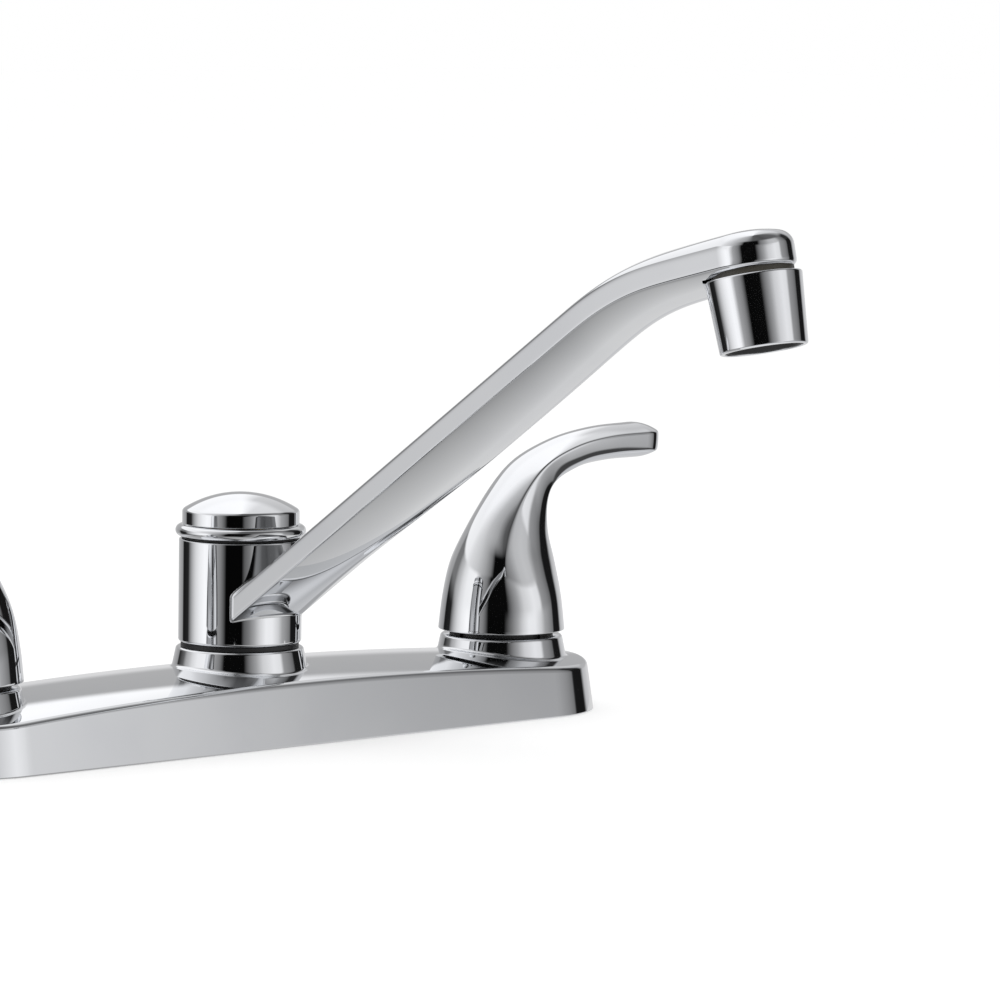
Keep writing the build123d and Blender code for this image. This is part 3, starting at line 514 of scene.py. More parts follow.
# %% Path of the arm
outlet_tilt = math.radians(13.3)
mouth = np.array([0, -206.4, 122.4])
outlet_up = np.array([0, math.sin(outlet_tilt), math.cos(outlet_tilt)])
outlet_front = np.array([0, -math.cos(outlet_tilt), math.sin(outlet_tilt)])
side_way = np.array([1.0, 0, 0])
head_middle = 24.4
head_point = mouth + outlet_up * head_middle
arm_start, arm_slope, bend_radius, line_height = 9.0, math.radians(33.46), 90.0, 30.3
rise, end_rise = math.tan(arm_slope), math.tan(outlet_tilt)
knee_reach = (head_point[2] + head_point[1] * end_rise - line_height) / (rise - end_rise)
knee = np.array([0, -knee_reach, line_height + rise * knee_reach])
climb = np.array([0, -math.cos(arm_slope), math.sin(arm_slope)])
bend_leg = bend_radius * math.tan((arm_slope - outlet_tilt) / 2)


def gaussian_rows(values, sigma, step):
    """Softens rows of values along their length and keeps straight ends straight."""
    reach = int(4 * sigma / step)
    weights = np.exp(-0.5 * (np.arange(-reach, reach + 1) * step / sigma)**2)
    weights /= weights.sum()
    first, last = values[0], values[-1]
    lead = first - (values[1] - first) * np.arange(reach, 0, -1)[:, None]
    tail = last + (last - values[-2]) * np.arange(1, reach + 1)[:, None]
    padded = np.vstack([lead, values, tail])
    return np.stack([np.convolve(padded[:, k], weights, "valid") for k in range(values.shape[1])], 1)


step = 0.25
bend_start, bend_end = knee - climb * bend_leg, knee + outlet_front * bend_leg
bend_centre = bend_start - np.array([0, math.sin(arm_slope), math.cos(arm_slope)]) * bend_radius
start = np.array([0, -arm_start, line_height + rise * arm_start])
first_leg = np.linalg.norm(bend_start - start)
bend_length = bend_radius * (arm_slope - outlet_tilt)
last_leg = np.linalg.norm(head_point - bend_end)
total = first_leg + bend_length + last_leg
along = np.arange(0, total + step / 2, step)
path = np.zeros((len(along), 3))
for i, s in enumerate(along):
    if s < first_leg:
        path[i] = start + climb * s
    elif s < first_leg + bend_length:
        slope = arm_slope - (s - first_leg) / bend_radius
        path[i] = bend_centre + np.array([0, math.sin(slope), math.cos(slope)]) * bend_radius
    else:
        path[i] = bend_end + outlet_front * (s - first_leg - bend_length)
path = gaussian_rows(path, 6.0, step)
normal = np.cross(unit(np.gradient(path, axis=0)), side_way)
print(f"arm path {total:.1f} mm, last point {np.round(path[-1], 2)}")

# %% Section of the arm, row by row
def smooth_share(x):
    x = np.clip(x, 0, 1)
    return x * x * (3 - 2 * x)


root_half_width, head_half_width, half_side = 13.0, 11.7, 2.975
belly_reach = [0, 17, 36, 60, 86, 118, 150, 200]
belly_depth = [1.6, 2.0, 3.0, 4.8, 6.2, 6.3, 5.7, 4.6]      # below the flat side
head_from, head_by = 138, 200                               # reach between which the head takes shape
reach = -path[:, 1]
towards_head = smooth_share((reach - head_from) / (head_by - head_from))
arm_share = (reach - arm_start) / (-head_point[1] - arm_start)
sizes = gaussian_rows(np.column_stack([
    root_half_width + (head_half_width - root_half_width) * arm_share,
    np.interp(reach, belly_reach, belly_depth),
]), 7.0, step)


def mix(near_hub, near_head):
    return near_hub + (near_head - near_hub) * towards_head


top_rise, shoulder_in, shoulder_up = mix(3.1, 3.69), mix(0.9, 3.2), mix(0.27, 2.63)
edge_down, turn_in, turn_up = mix(0.72, 0.98), mix(0.25, 0.9), mix(-0.11, 1.23)
section_softness = mix(0.22, 0.47)
section_counts = (44, 12, 10, 60, 10, 12)   # crown, corner, side, belly, side, corner
run_points = 90


def left(point):
    return (-point[0], point[1])


def arm_section(i):
    """Crown, rounded corners, flat sides and belly of the arm at one place on its path."""
    wide, belly = sizes[i]
    shoulder = (wide - shoulder_in[i], half_side + shoulder_up[i])
    turn = (wide - turn_in[i], half_side + turn_up[i])
    edge, low = (wide, half_side - edge_down[i]), (wide, -half_side)
    side = (wide, (edge[1] + low[1]) / 2)
    crest, keel = (0, half_side + top_rise[i]), (0, -half_side - belly)
    runs = [(left(shoulder), crest, shoulder), (shoulder, turn, edge), (edge, side, low),
            (low, keel, left(low)), (left(low), left(side), left(edge)),
            (left(edge), left(turn), left(shoulder))]
    return soft_section(runs, run_points, section_counts, 0.7, section_softness[i])


sections = np.array([arm_section(i) for i in range(len(path))])
arm_skin = path[:, None] + sections[:, :, :1] * side_way + sections[:, :, 1:] * normal[:, None]
columns = arm_skin.shape[1]
print("arm sections:", arm_skin.shape)

# %% Columns of the arm: off the hub, along, round the nose
hub_radius, room_radius, head_floor = 17.5, 13.2, 19.92      # the room is for the outlet ring


def read_columns(distance):
    """Points of every column at its own distance along the arm."""
    place = np.clip(distance / step, 0, len(along) - 1.001)
    low = place.astype(int)
    part = (place - low)[:, None]
    j = np.arange(columns)
    return arm_skin[low, j] * (1 - part) + arm_skin[low + 1, j] * part


def first_beyond(values, limit, falling=False):
    """Distance along each column where it first passes the limit."""
    passed = values < limit if falling else values > limit
    i = np.argmax(passed, axis=0)
    j = np.arange(columns)
    a, b = values[i - 1, j], values[i, j]
    return (i - 1 + (limit - a) / (b - a)) * step


from_axis = arm_skin - mouth
up_share = from_axis @ outlet_up
off_axis = np.linalg.norm(from_axis - up_share[..., None] * outlet_up, axis=2)
leaves_hub = first_beyond(np.hypot(arm_skin[..., 0], arm_skin[..., 1]), hub_radius)
meets_room = first_beyond(off_axis, room_radius, falling=True)

here = read_columns(leaves_hub)
run = unit(read_columns(leaves_hub + 0.5) - here)
round_way = unit(np.roll(here, -1, axis=0) - np.roll(here, 1, axis=0))
outwards = unit(np.cross(run, round_way))
if (outwards[:, 2] * (here[:, 2] - here[:, 2].mean())).sum() < 0:
    outwards = -outwards
hub_normal = unit(here * [1, 1, 0])
climbing = unit(outwards - (outwards * hub_normal).sum(1, keepdims=True) * hub_normal)
root_round, inside_radius = 0.7, 16.4
root = here + climbing * root_round


def inside_hub(share):
    """Rows that close the arm's end inside the hub's wall."""
    angle = np.arctan2(root[:, 0], -root[:, 1]) * share
    z = root[:, 2].mean() + (root[:, 2] - root[:, 2].mean()) * share
    return np.column_stack([np.sin(angle) * inside_radius, -np.cos(angle) * inside_radius, z])


def on_hub(points, radius):
    flat = unit(points * [1, 1, 0]) * radius
    return np.column_stack([flat[:, :2], points[:, 2]])


def clear_of_ring(points):
    """Inside the room for the outlet ring nothing hangs below the head's floor."""
    low = (points - mouth) @ outlet_up
    return points + np.maximum(head_floor - low, 0)[:, None] * outlet_up


begin, end = leaves_hub + root_round, meets_room
rows = [inside_hub(t) for t in np.linspace(0, 1, 7)]
rows += [on_hub(root, hub_radius - 0.3)]
rows += turned_edge(on_hub(root, hub_radius - 0.004), here, read_columns(begin), 6)
rows += [read_columns(begin + 0.12)]
rows += [read_columns(begin + (end - begin) * t) for t in np.linspace(0, 1, 150)[1:-1]]
rows += [read_columns(end - 0.1), read_columns(end)]
rows += [clear_of_ring(read_columns(end)), clear_of_ring(read_columns(end + 0.1))]
rows += [clear_of_ring(read_columns(end + (total - end) * t)) for t in np.linspace(0, 1, 14)[1:]]
last = rows[-1] - mouth
height, across = last @ outlet_up, last @ side_way
for turn in np.linspace(0, math.pi / 2, 20)[1:]:
    rows.append(mouth + height[:, None] * outlet_up + (across * math.cos(turn))[:, None] * side_way
                + (np.abs(across) * math.sin(turn))[:, None] * outlet_front)
skin("spout_arm", rows, "spout", chrome, ["spout_casting"])

# %% [markdown]
# ## Hub and outlet spigot
# The hub turns on its post, so it is a tube with a wider chamber inside for the water. Two cylinders
# and a boolean could make it, but a boolean leaves knife edges. Here its outline, with a round at
# each corner that shows, is turned once about the axis. The spigot under the head is what the outlet
# ring screws on. Only a dark line of it shows in the gap, so its finish is painted shade: a near
# black colour stands in for the shadow in that gap.

# %% Hub and outlet spigot
hub_foot, hub_top, hub_bore, hub_chamber = 26.8, 56.15, 12.0, 14.3
hub_profile = rounded_profile([
    (hub_bore, hub_foot, 0.2), (hub_radius, hub_foot, 0.8), (hub_radius, hub_top, 0.4),
    (hub_bore, hub_top, 0.2), (hub_bore, 46.0, 0), (hub_chamber, 46.0, 0), (hub_chamber, 34.0, 0),
    (hub_bore, 34.0, 0)])
skin("spout_hub", turned(closed(hub_profile)), "spout", chrome, ["spout_casting"])


def on_outlet(profile, steps=128):
    return turned(profile, steps, mouth, side_way, outlet_up)


spigot = rounded_profile([(8.0, 11.8, 0.2), (10.8, 11.8, 0.3), (10.8, 21.0, 0), (8.0, 21.0, 0)])
# The spigot's near black finish is painted shade for the gap between the head and the outlet ring.
skin("outlet_spigot", on_outlet(closed(spigot)), "spout", painted_spigot_shade, ["spout_casting"])

# %% [markdown]
# ## Bead ring and cap
# The bead ring holds the spout down, and the domed cap covers it. Both are turned parts on the real
# faucet, so their outlines are turned here too. A squashed sphere could serve as the cap, but its
# curve would be wrong at the brim. Each corner has its own small round: a knife edge would shine as
# a thin broken line, while a real plated edge catches the light along a soft band.

# %% Bead ring and cap
ring_low, ring_high = 56.8, 60.2
bead = arc_through((16.85, ring_low), (18.55, (ring_low + ring_high) / 2), (16.85, ring_high), 24)
ring_profile = np.vstack([[(9.05, ring_high), (9.05, ring_low), (16.6, ring_low)], bead,
                          [(16.85, ring_high), (16.6, ring_high)]])
skin("bead_ring", turned(closed(ring_profile)), "fixed_body", chrome, ["spout_nut"])

cap_radius, cap_top, shoulder, cap_foot = 16.65, 69.35, 64.35, 60.35
dome_height = cap_top - shoulder
dome_sphere = (cap_radius**2 + dome_height**2) / (2 * dome_height)
dome_angle = math.asin(cap_radius / dome_sphere)
dome = [(dome_sphere * math.sin(a), cap_top - dome_sphere * (1 - math.cos(a)))
        for a in np.linspace(0, dome_angle * 0.955, 26)]
brim = turned_edge(dome[-1], (cap_radius, shoulder), (cap_radius, shoulder - 0.6), 8)
skirt = [(cap_radius, z) for z in (shoulder - 0.7, 62.2, 60.75, 60.65)]
lip = turned_edge((cap_radius, 60.6), (cap_radius, cap_foot), (cap_radius - 0.25, cap_foot), 4)
inside_cap = [(16.2, cap_foot), (15.25, cap_foot), (15.25, 63.6), (12.0, 65.9), (6.0, 67.4), (0, 67.95)]
skin("spout_dome_cap", turned(np.vstack([dome, brim[1:], skirt, lip, inside_cap])), "fixed_body", chrome,
     ["spout_cap"])

# %% [markdown]
# ## Glide rings
# A thin plastic ring under the hub and one over it keep metal off metal when the spout turns. They
# are the dark lines at the hub's foot and top. Painted lines would do in one view, but real rings
# hold in every view and pose.

# %% Glide rings under and over the hub
glide_radius = 16.8
for name, low, high, bore in (("lower_glide", spout_boss_top, 26.75, 12.15),
                              ("upper_glide", 56.25, ring_low, 9.2)):
    corners = [(bore, low, 0.1), (glide_radius, low, 0.15), (glide_radius, high, 0.15), (bore, high, 0.1)]
    ring = closed(rounded_profile(corners, 3, 0.02))
    skin(name, turned(ring, 96), "fixed_body", dark_plastic, [f"{name}_ring"])

# %% [markdown]
# ## Outlet ring
# The outlet ring screws onto the spigot, narrows towards the mouth and holds the insert. A cone with
# a hole would do from the side, but from below one looks into it. So its outline also goes up the
# inside, past the ledge that the insert rests on, and a dark liner stands for the plastic in its mouth.

# %% Outlet ring and the dark liner in its mouth
housing = rounded_profile([
    (10.2, 0, 0.3), (11.5, 0, 0.6), (12.7, 19.1, 0.5), (10.85, 19.1, 0.2), (10.85, 10.1, 0), (10.0, 10.1, 0),
    (10.0, 4.2, 0), (8.6, 4.2, 0.1), (8.6, 3.0, 0.2), (10.2, 3.0, 0)])
skin("aerator_ring", on_outlet(closed(housing)), "spout", chrome, ["aerator_housing"])
liner = rounded_profile([
    (10.15, 0.4, 0.1), (10.15, 2.9, 0), (8.5, 2.9, 0), (8.5, 4.0, 0), (7.6, 4.0, 0), (8.4, 2.4, 0),
    (9.6, 0.4, 0.1)])
skin("mouth_liner", on_outlet(closed(liner), 96), "spout", dark_plastic)
print("turned parts are in place")

# %% [markdown]
# ## Screen and threads
# The wires of the outlet screen and the turns of the shank threads repeat by a rule, so node trees
# make them. Arrays would do for the wires, but here each wire is also cut to its chord of the round.
# A thread could be a screw modifier, while a curve along a spiral keeps pitch and ridge as inputs.

# %% Trees for the screen and the thread
def new_tree(name, given):
    tree = bpy.data.node_groups.new(name, "GeometryNodeTree")
    for socket, kind, value in given:
        made = tree.interface.new_socket(socket, in_out="INPUT", socket_type=kind)
        if value is not None:
            made.default_value = value
    tree.interface.new_socket("Geometry", in_out="OUTPUT", socket_type="NodeSocketGeometry")
    return tree, add_node(tree, "NodeGroupInput").outputs, add_node(tree, "NodeGroupOutput")


def realized(tree, geometry, given, result):
    """Ends a tree: real geometry with its material."""
    real = add_node(tree, "GeometryNodeRealizeInstances", {0: geometry})
    cover = add_node(tree, "GeometryNodeSetMaterial",
                     {"Geometry": real.outputs[0], "Material": given["Material"]})
    feed(tree, result, {"Geometry": cover.outputs[0]})
    return tree


def wire_screen_tree():
    """Parallel wires cut to their chords of a circle, and the same again across them."""
    tree, given, result = new_tree("wire_screen", [
        ("Radius", "NodeSocketFloat", 0.0083), ("Wire Radius", "NodeSocketFloat", 0.00022),
        ("Wires", "NodeSocketInt", 17), ("Material", "NodeSocketMaterial", None)])
    radius, wire_radius, wires = given["Radius"], given["Wire Radius"], given["Wires"]

    def calc(kind, *values):
        return add_node(tree, "ShaderNodeMath", dict(enumerate(values)), operation=kind).outputs[0]

    def vector(**parts):
        return add_node(tree, "ShaderNodeCombineXYZ", parts).outputs[0]

    gap = calc("DIVIDE", calc("MULTIPLY", radius, 2.0), wires)
    first = calc("MULTIPLY", gap, calc("MULTIPLY", calc("SUBTRACT", wires, 1), -0.5))
    line = add_node(tree, "GeometryNodeMeshLine",
                    {"Count": wires, "Start Location": vector(Y=first), "Offset": vector(Y=gap)})
    wire = add_node(tree, "GeometryNodeMeshCylinder", {"Vertices": 10, "Radius": wire_radius, "Depth": 1.0})
    lying = add_node(tree, "GeometryNodeTransform",
                     {"Geometry": wire.outputs["Mesh"], "Rotation": (0, math.pi / 2, 0)})
    place = add_node(tree, "GeometryNodeInputPosition").outputs[0]
    across = add_node(tree, "ShaderNodeSeparateXYZ", {0: place}).outputs["Y"]
    squares = calc("SUBTRACT", calc("MULTIPLY", radius, radius), calc("MULTIPLY", across, across))
    chord = calc("MULTIPLY", calc("SQRT", squares), 2.0)
    put = add_node(tree, "GeometryNodeInstanceOnPoints", {
        "Points": line.outputs["Mesh"], "Instance": lying.outputs["Geometry"],
        "Scale": vector(X=chord, Y=1.0, Z=1.0)}).outputs["Instances"]
    crossed = add_node(tree, "GeometryNodeTransform", {
        "Geometry": put, "Rotation": (0, 0, math.pi / 2),
        "Translation": vector(Z=calc("MULTIPLY", wire_radius, 2.2))})
    join = add_node(tree, "GeometryNodeJoinGeometry")
    for layer in (put, crossed.outputs["Geometry"]):
        tree.links.new(layer, join.inputs[0])
    return realized(tree, join.outputs[0], given, result)


def thread_tree():
    """A ridge that winds up a round bar."""
    tree, given, result = new_tree("wound_thread", [
        ("Radius", "NodeSocketFloat", 0.0103), ("Pitch", "NodeSocketFloat", 0.0018),
        ("Turns", "NodeSocketFloat", 15.0), ("Ridge", "NodeSocketFloat", 0.0006),
        ("Material", "NodeSocketMaterial", None)])
    rise = add_node(tree, "ShaderNodeMath", {0: given["Pitch"], 1: given["Turns"]}, operation="MULTIPLY")
    spiral = add_node(tree, "GeometryNodeCurveSpiral", {
        "Resolution": 72, "Rotations": given["Turns"], "Start Radius": given["Radius"],
        "End Radius": given["Radius"], "Height": rise.outputs[0]})
    ridge = add_node(tree, "GeometryNodeCurvePrimitiveCircle", {"Resolution": 8, "Radius": given["Ridge"]})
    sweep = add_node(tree, "GeometryNodeCurveToMesh", {
        "Curve": spiral.outputs[0], "Profile Curve": ridge.outputs["Curve"], "Fill Caps": True})
    return realized(tree, sweep.outputs[0], given, result)


def grown(name, tree, values):
    """Runs a tree once with its named inputs and keeps the mesh that it makes."""
    piece = new_object(name, bpy.data.meshes.new(name))
    nodes = piece.modifiers.new("grow", "NODES")
    nodes.node_group = tree
    for item in tree.interface.items_tree:
        if item.in_out == "INPUT" and item.name in values:
            nodes[item.identifier] = values[item.name]
    settle(piece)
    return piece


screen_tree, shank_tree = wire_screen_tree(), thread_tree()
print("trees:", screen_tree.name, "and", shank_tree.name)

# %% Screen in the mouth, threads on the shanks
def placed(piece, origin, across, along):
    """Moves a mesh from its own axes to a place in the frame, with its faces outwards."""
    across, along = unit(across), unit(along)
    turn = np.column_stack([across, np.cross(along, across), along])
    work = bmesh.new()
    work.from_mesh(piece.data)
    for point in work.verts:
        point.co = turn @ np.array(point.co) + np.array(origin) * millimetre
    bmesh.ops.recalc_face_normals(work, faces=work.faces)
    work.to_mesh(piece.data)
    work.free()


wires = grown("mouth_screen", screen_tree,
              {"Radius": 0.0081, "Wire Radius": 0.00022, "Wires": 15, "Material": steel})
placed(wires, mouth + outlet_up * 2.9, side_way, outlet_up)
dress(wires, "spout", steel)
thread_foot = -48.2
for side, x in (("hot", -handle_x), ("cold", handle_x)):
    thread = grown(f"{side}_shank_thread", shank_tree,
                   {"Radius": 0.01012, "Pitch": 0.0018, "Turns": 13.0, "Ridge": 0.00045, "Material": brass})
    placed(thread, (x, 0, thread_foot), (1, 0, 0), (0, 0, 1))
    dress(thread, "fixed_body", brass)

# %% [markdown]
# ## Lever handles
# Each handle is one casting: a bell that covers the valve and a lever that leans over and runs out
# flat to a rounded tongue. Sculpting could find such a shape by eye, but both handles must be true
# mirror images. So a table of stations gives the leaning sections from bell to tip, smooth ones are
# read between them, and the tip is half of the last section turned about an upright line.

# %% Stations of the handle
bell_radius, bell_foot = 18.7, 23.15
cos_40, sin_40, cos_5, sin_5 = 0.766, 0.643, 0.996, 0.087


def bell_station(radius, height):
    """A true circle told as a station: its seam is 40 degrees behind the side, its flank 5 before it."""
    in_radii = np.array([-sin_40, 0, 0, cos_40, 1 - sin_40, 1 + sin_40, sin_40, sin_40 + cos_40,
                         cos_5, sin_40 + sin_5])
    return in_radii * radius + [0, height, 0, 0, 0, 0, 0, 0, 0, 0]


stations = np.array([
    # out, height, lean, half width, rise, depth, lower rim's half width and drop, flank's half width and drop
    bell_station(bell_radius, bell_foot),
    bell_station(bell_radius * 0.941, 33.0),
    (-9.96, 43.8, 6, 11.6, 4.9, 26.3, 10.6, 21.9, 14.5, 11.2),
    (-5.93, 52.3, 19, 9.7, 4.6, 23.1, 9.6, 17.9, 11.9, 9.8),
    (0.2, 62.1, 38, 8.4, 2.6, 17.0, 8.1, 13.1, 9.4, 7.0),
    (9.2, 70.9, 58, 8.0, 1.7, 10.1, 7.2, 7.0, 7.9, 3.5),
    (23.1, 76.7, 74, 8.0, 2.0, 8.0, 7.5, 5.6, 8.0, 2.9),
    (38.0, 79.0, 84, 8.2, 2.4, 7.9, 7.8, 5.6, 8.2, 2.9),
    (52.35, 79.3, 90, 8.3, 2.7, 7.9, 8.0, 5.6, 8.28, 2.9),
])
print("handle stations:", len(stations))

# %% Smooth stations in between
station_step = 0.25


def smooth_stations(table):
    """Curves through the stations with their slopes from neighbouring ones."""
    steps = np.linalg.norm(np.diff(table[:, :2], axis=0), axis=1)
    place = np.concatenate([[0], np.cumsum(steps)])
    rates = np.diff(table, axis=0) / steps[:, None]
    inner = (rates[:-1] * steps[1:, None] + rates[1:] * steps[:-1, None]) / (steps[1:] + steps[:-1])[:, None]
    slope = np.vstack([rates[:1], inner, rates[-1:]])
    read = np.arange(0, place[-1] + station_step / 2, station_step)
    k = np.clip(np.searchsorted(place, read, "right") - 1, 0, len(steps) - 1)
    t, size = ((read - place[k]) / steps[k])[:, None], steps[k][:, None]
    values = ((2 * t**3 - 3 * t**2 + 1) * table[k] + (t**3 - 2 * t**2 + t) * size * slope[k]
              + (3 * t**2 - 2 * t**3) * table[k + 1] + (t**3 - t**2) * size * slope[k + 1])
    return gaussian_rows(values, 2.0, station_step)


dense_stations = smooth_stations(stations)
print("read at", len(dense_stations), "places")

# %% Rows of the handle
handle_counts = (52, 34, 34, 34)            # top, flank, underside, flank


def handle_outline(half, rise, depth, rim_half, rim_drop, flank_half, flank_drop):
    seam, flank, rim = (half, 0), (flank_half, -flank_drop), (rim_half, -rim_drop)
    runs = [(left(seam), (0, rise), seam), (seam, flank, rim), (rim, (0, -depth), left(rim)),
            (left(rim), left(flank), left(seam))]
    return soft_section(runs, 120, handle_counts, 0.5, 0.4)


chosen = np.unique(np.round(np.linspace(1, len(dense_stations) - 1, 118)).astype(int))
handle_rows = []
for out, height, lean, *section in dense_stations[chosen]:
    outline, lean = handle_outline(*section), math.radians(lean)
    up = np.array([-math.cos(lean), 0, math.sin(lean)])
    handle_rows.append([out, 0, height] + outline[:, :1] * [0, 1, 0] + outline[:, 1:] * up)
tip_start = np.array([stations[-1][0], 0, 0])
tip = handle_rows[-1] - tip_start
for turn in np.linspace(0, math.pi / 2, 18)[1:]:
    turned_tip = np.column_stack([np.abs(tip[:, 1]) * math.sin(turn), tip[:, 1] * math.cos(turn), tip[:, 2]])
    handle_rows.append(turned_tip + tip_start)
print("handle rows:", len(handle_rows), "of", len(handle_rows[0]), "points")

# %% Bell, hollow and lever in one skin
hollow_radius = 16.5
screw_radius, screw_height = 2.55, 38.0
bell_ways = unit(handle_rows[0] * [1, 1, 0])


def bell_ring(radius, z):
    return bell_ways * [radius, radius, 0] + [0, 0, z]


hollow = [bell_ring(*corner) for corner in (
    (0, 44.4), (4.9, 44.4), (5.05, 44.2), (5.05, 32.6), (5.3, 32.5), (13.9, 32.5), (14.05, 32.4),
    (16.45, 27.25), (hollow_radius, 27.0), (hollow_radius, 23.6))]
rim = turned_edge(bell_ring(hollow_radius, bell_foot + 0.25), bell_ring(hollow_radius, bell_foot),
                  bell_ring(hollow_radius + 0.25, bell_foot), 3)
rim += turned_edge(bell_ring(18.35, bell_foot), bell_ring(18.69, bell_foot), handle_rows[0], 6)[:-1]
for side, sign in (("cold", 1), ("hot", -1)):
    rows = [row * [sign, 1, 1] + [sign * handle_x, 0, 0] for row in hollow + rim + handle_rows]
    screw_hole = rod(screw_radius, 3.6, 26, (sign * handle_x, 0, screw_height), (0, 1, 0), (sign, 0, 0), 40)
    skin(f"{side}_lever_handle", rows, f"{side}_control", chrome, [f"{side}_handle"],
         [screw_hole])

# %% [markdown]
# ## Parts inside and below the deck
# Valves, seals, tubes, nuts and springs are right as the CAD solids that they are, so they stay. They
# could all get one grey, but below the deck and in an exploded view each should show what it is made
# of. A short list of words gives each its finish by its name, and the longest word in it wins.

# %% Finish of the CAD parts that stay as they are
kept = {
    "spout_post": brass, "valve_body": brass, "bonnet_nut": brass, "stem": brass, "bridge_tube": copper,
    "o_ring": rubber, "gasket": rubber, "washer": rubber, "valve_seat": rubber,
    "aerator_insert": white_plastic, "mounting_nut": dark_plastic, "cover_locknut": dark_plastic,
    "mounting_washer": steel, "spring": steel, "screw": steel, "screen": steel,
}
staying = {name: node for name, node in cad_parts.items() if not node.hide_render}
for name, node in staying.items():
    word = max((word for word in kept if word in name), key=len)
    node.data.materials.clear()
    node.data.materials.append(kept[word])
print(len(staying), "CAD parts have their finish")

# %% [markdown]
# ## Camera
# The camera stands where the photograph's did. Its place, turn and lens were fitted to edges of the
# faucet, with the spacing of the two handles as the known length. A camera set by eye could nearly
# match the outline, but reflections show every error in the direction of view.

# %% Camera
camera_place = (-1.0660, -1.2508, 0.2281)
yaw, pitch, roll = math.radians(43.0), math.radians(5.57), math.radians(0.79)
focal_pixels, picture_pixels, film_width = 5817.1, 1000, 36.0
ahead = np.array([math.sin(yaw) * math.cos(pitch), math.cos(yaw) * math.cos(pitch), -math.sin(pitch)])
right = np.array([math.cos(yaw), -math.sin(yaw), 0.0])
upright = np.cross(right, ahead)
right, upright = (math.cos(roll) * right + math.sin(roll) * upright,
                  -math.sin(roll) * right + math.cos(roll) * upright)
lens = bpy.data.cameras.new("camera")
lens.lens, lens.sensor_width = focal_pixels / picture_pixels * film_width, film_width
lens.clip_start, lens.clip_end = 0.05, 50.0
camera = new_object("camera", lens)
facing = Matrix(np.column_stack([right, upright, -ahead]).tolist())
camera.matrix_world = Matrix.Translation(camera_place) @ facing.to_4x4()
bpy.context.scene.camera = camera
print("camera", [round(v, 3) for v in camera.location], "lens", round(lens.lens, 1))

# %% [markdown]
# ## Studio
# The photograph has a white ground that runs into the backdrop, and the chrome shows what stood
# around the table: bright panels, a grey card and the dark room where the camera was. A real set of
# cards would work, but each one's size and place would need much trying. Here the world plays them.
# Rays from metal see a ring of cards by compass direction, and another ring at each height, with a
# soft change from one to the next. The eye sees plain white, and matt surfaces get plain soft light.

# %% Cards of the studio
towards_camera = math.degrees(math.atan2(camera_place[1], camera_place[0]))
# Each card: its compass direction from the camera's, and its brightness there.
level_cards = [
    (-180, 0.75), (-165, 0.55), (-137, 0.33),                               # pale wall behind the faucet
    (-133, 0.01), (-114, 0.02),                                             # left doorway
    (-108, 0.26), (-100, 0.55), (-92, 0.80), (-82, 1.0), (-70, 1.15), (-62, 1.1),    # left white card
    (-52, 0.42), (-38, 0.26), (-31, 0.10),                                  # grey flat beside it
    (-27, 0.002), (3, 0.002),                                               # dark room round the camera
    (8, 0.12), (17, 0.22), (27, 0.42), (38, 0.75), (50, 1.0), (63, 0.98),   # right card, far edge dim
    (77, 0.72), (86, 0.42), (98, 0.30), (107, 0.2),
    (110, 0.01), (130, 0.01), (137, 0.55), (155, 0.70), (168, 0.7), (180, 0.75),     # right doorway, wall
]
middle_cards = [
    (-180, 0.46), (-160, 0.45), (-138, 0.40), (-131, 0.2), (-116, 0.2), (-108, 0.45), (-100, 0.58),
    (-92, 0.80), (-80, 1.0), (-62, 1.05), (-50, 0.42), (-36, 0.22), (-28, 0.003), (8, 0.003), (18, 0.2),
    (30, 0.40), (42, 0.72), (63, 0.94), (77, 0.87), (80, 0.66), (81, 0.54), (82, 0.44), (84, 0.34),
    (98, 0.25), (107, 0.16), (111, 0.01), (130, 0.01), (138, 0.5), (155, 0.5), (166, 0.46), (180, 0.46),
]
upper_cards = [
    (-180, 1.15), (-160, 1.1), (-100, 1.0), (-85, 0.82), (-65, 0.66), (-45, 0.42), (-31, 0.2),
    (-24, 0.003), (16, 0.003), (24, 0.2), (36, 0.34), (50, 0.56), (65, 0.62), (77, 0.58), (88, 0.30),
    (104, 0.16), (112, 0.03), (130, 0.03), (142, 0.55), (160, 0.62), (173, 0.72), (178, 1.1), (180, 1.15),
]
ceiling = [
    (-180, 1.2), (-110, 1.1), (-85, 0.85), (-60, 0.6), (-25, 0.42), (0, 0.12), (38, 0.09), (60, 0.12),
    (100, 0.14), (125, 0.4), (145, 0.8), (165, 0.85), (178, 1.2), (180, 1.2),
]
table_edge = [(-180, 0.66), (-150, 0.62), (-130, 0.06), (130, 0.06), (150, 0.62), (180, 0.66)]
# Each ring takes over between two heights of a ray's direction: first upwards, then downwards.
rings = [(0.03, 0.14, middle_cards), (0.33, 0.385, upper_cards), (0.60, 0.76, ceiling),
         (-0.23, -0.28, table_edge)]
table_top = [(-0.35, -0.42, (0.62, 0.625, 0.64, 1)), (-0.60, -0.85, (0.90, 0.905, 0.91, 1))]
print(sum(len(cards) for _, _, cards in rings) + len(level_cards), "cards in", len(rings) + 1, "rings")

# %% World seen by metal, by the eye and by matt surfaces
def card_ramp(tree, cards, share):
    """Brightness round the compass from a list of cards."""
    ramp = add_node(tree, "ShaderNodeValToRGB", {"Fac": share})
    stops = ramp.color_ramp.elements
    while len(stops) < len(cards):
        stops.new(0.5)
    for stop, (angle, _) in zip(stops, cards):
        stop.position = (angle + 180) / 360
    for stop, (_, value) in zip(stops, cards):
        stop.color = (value, value, value * 1.01, 1)
    return ramp.outputs["Color"]


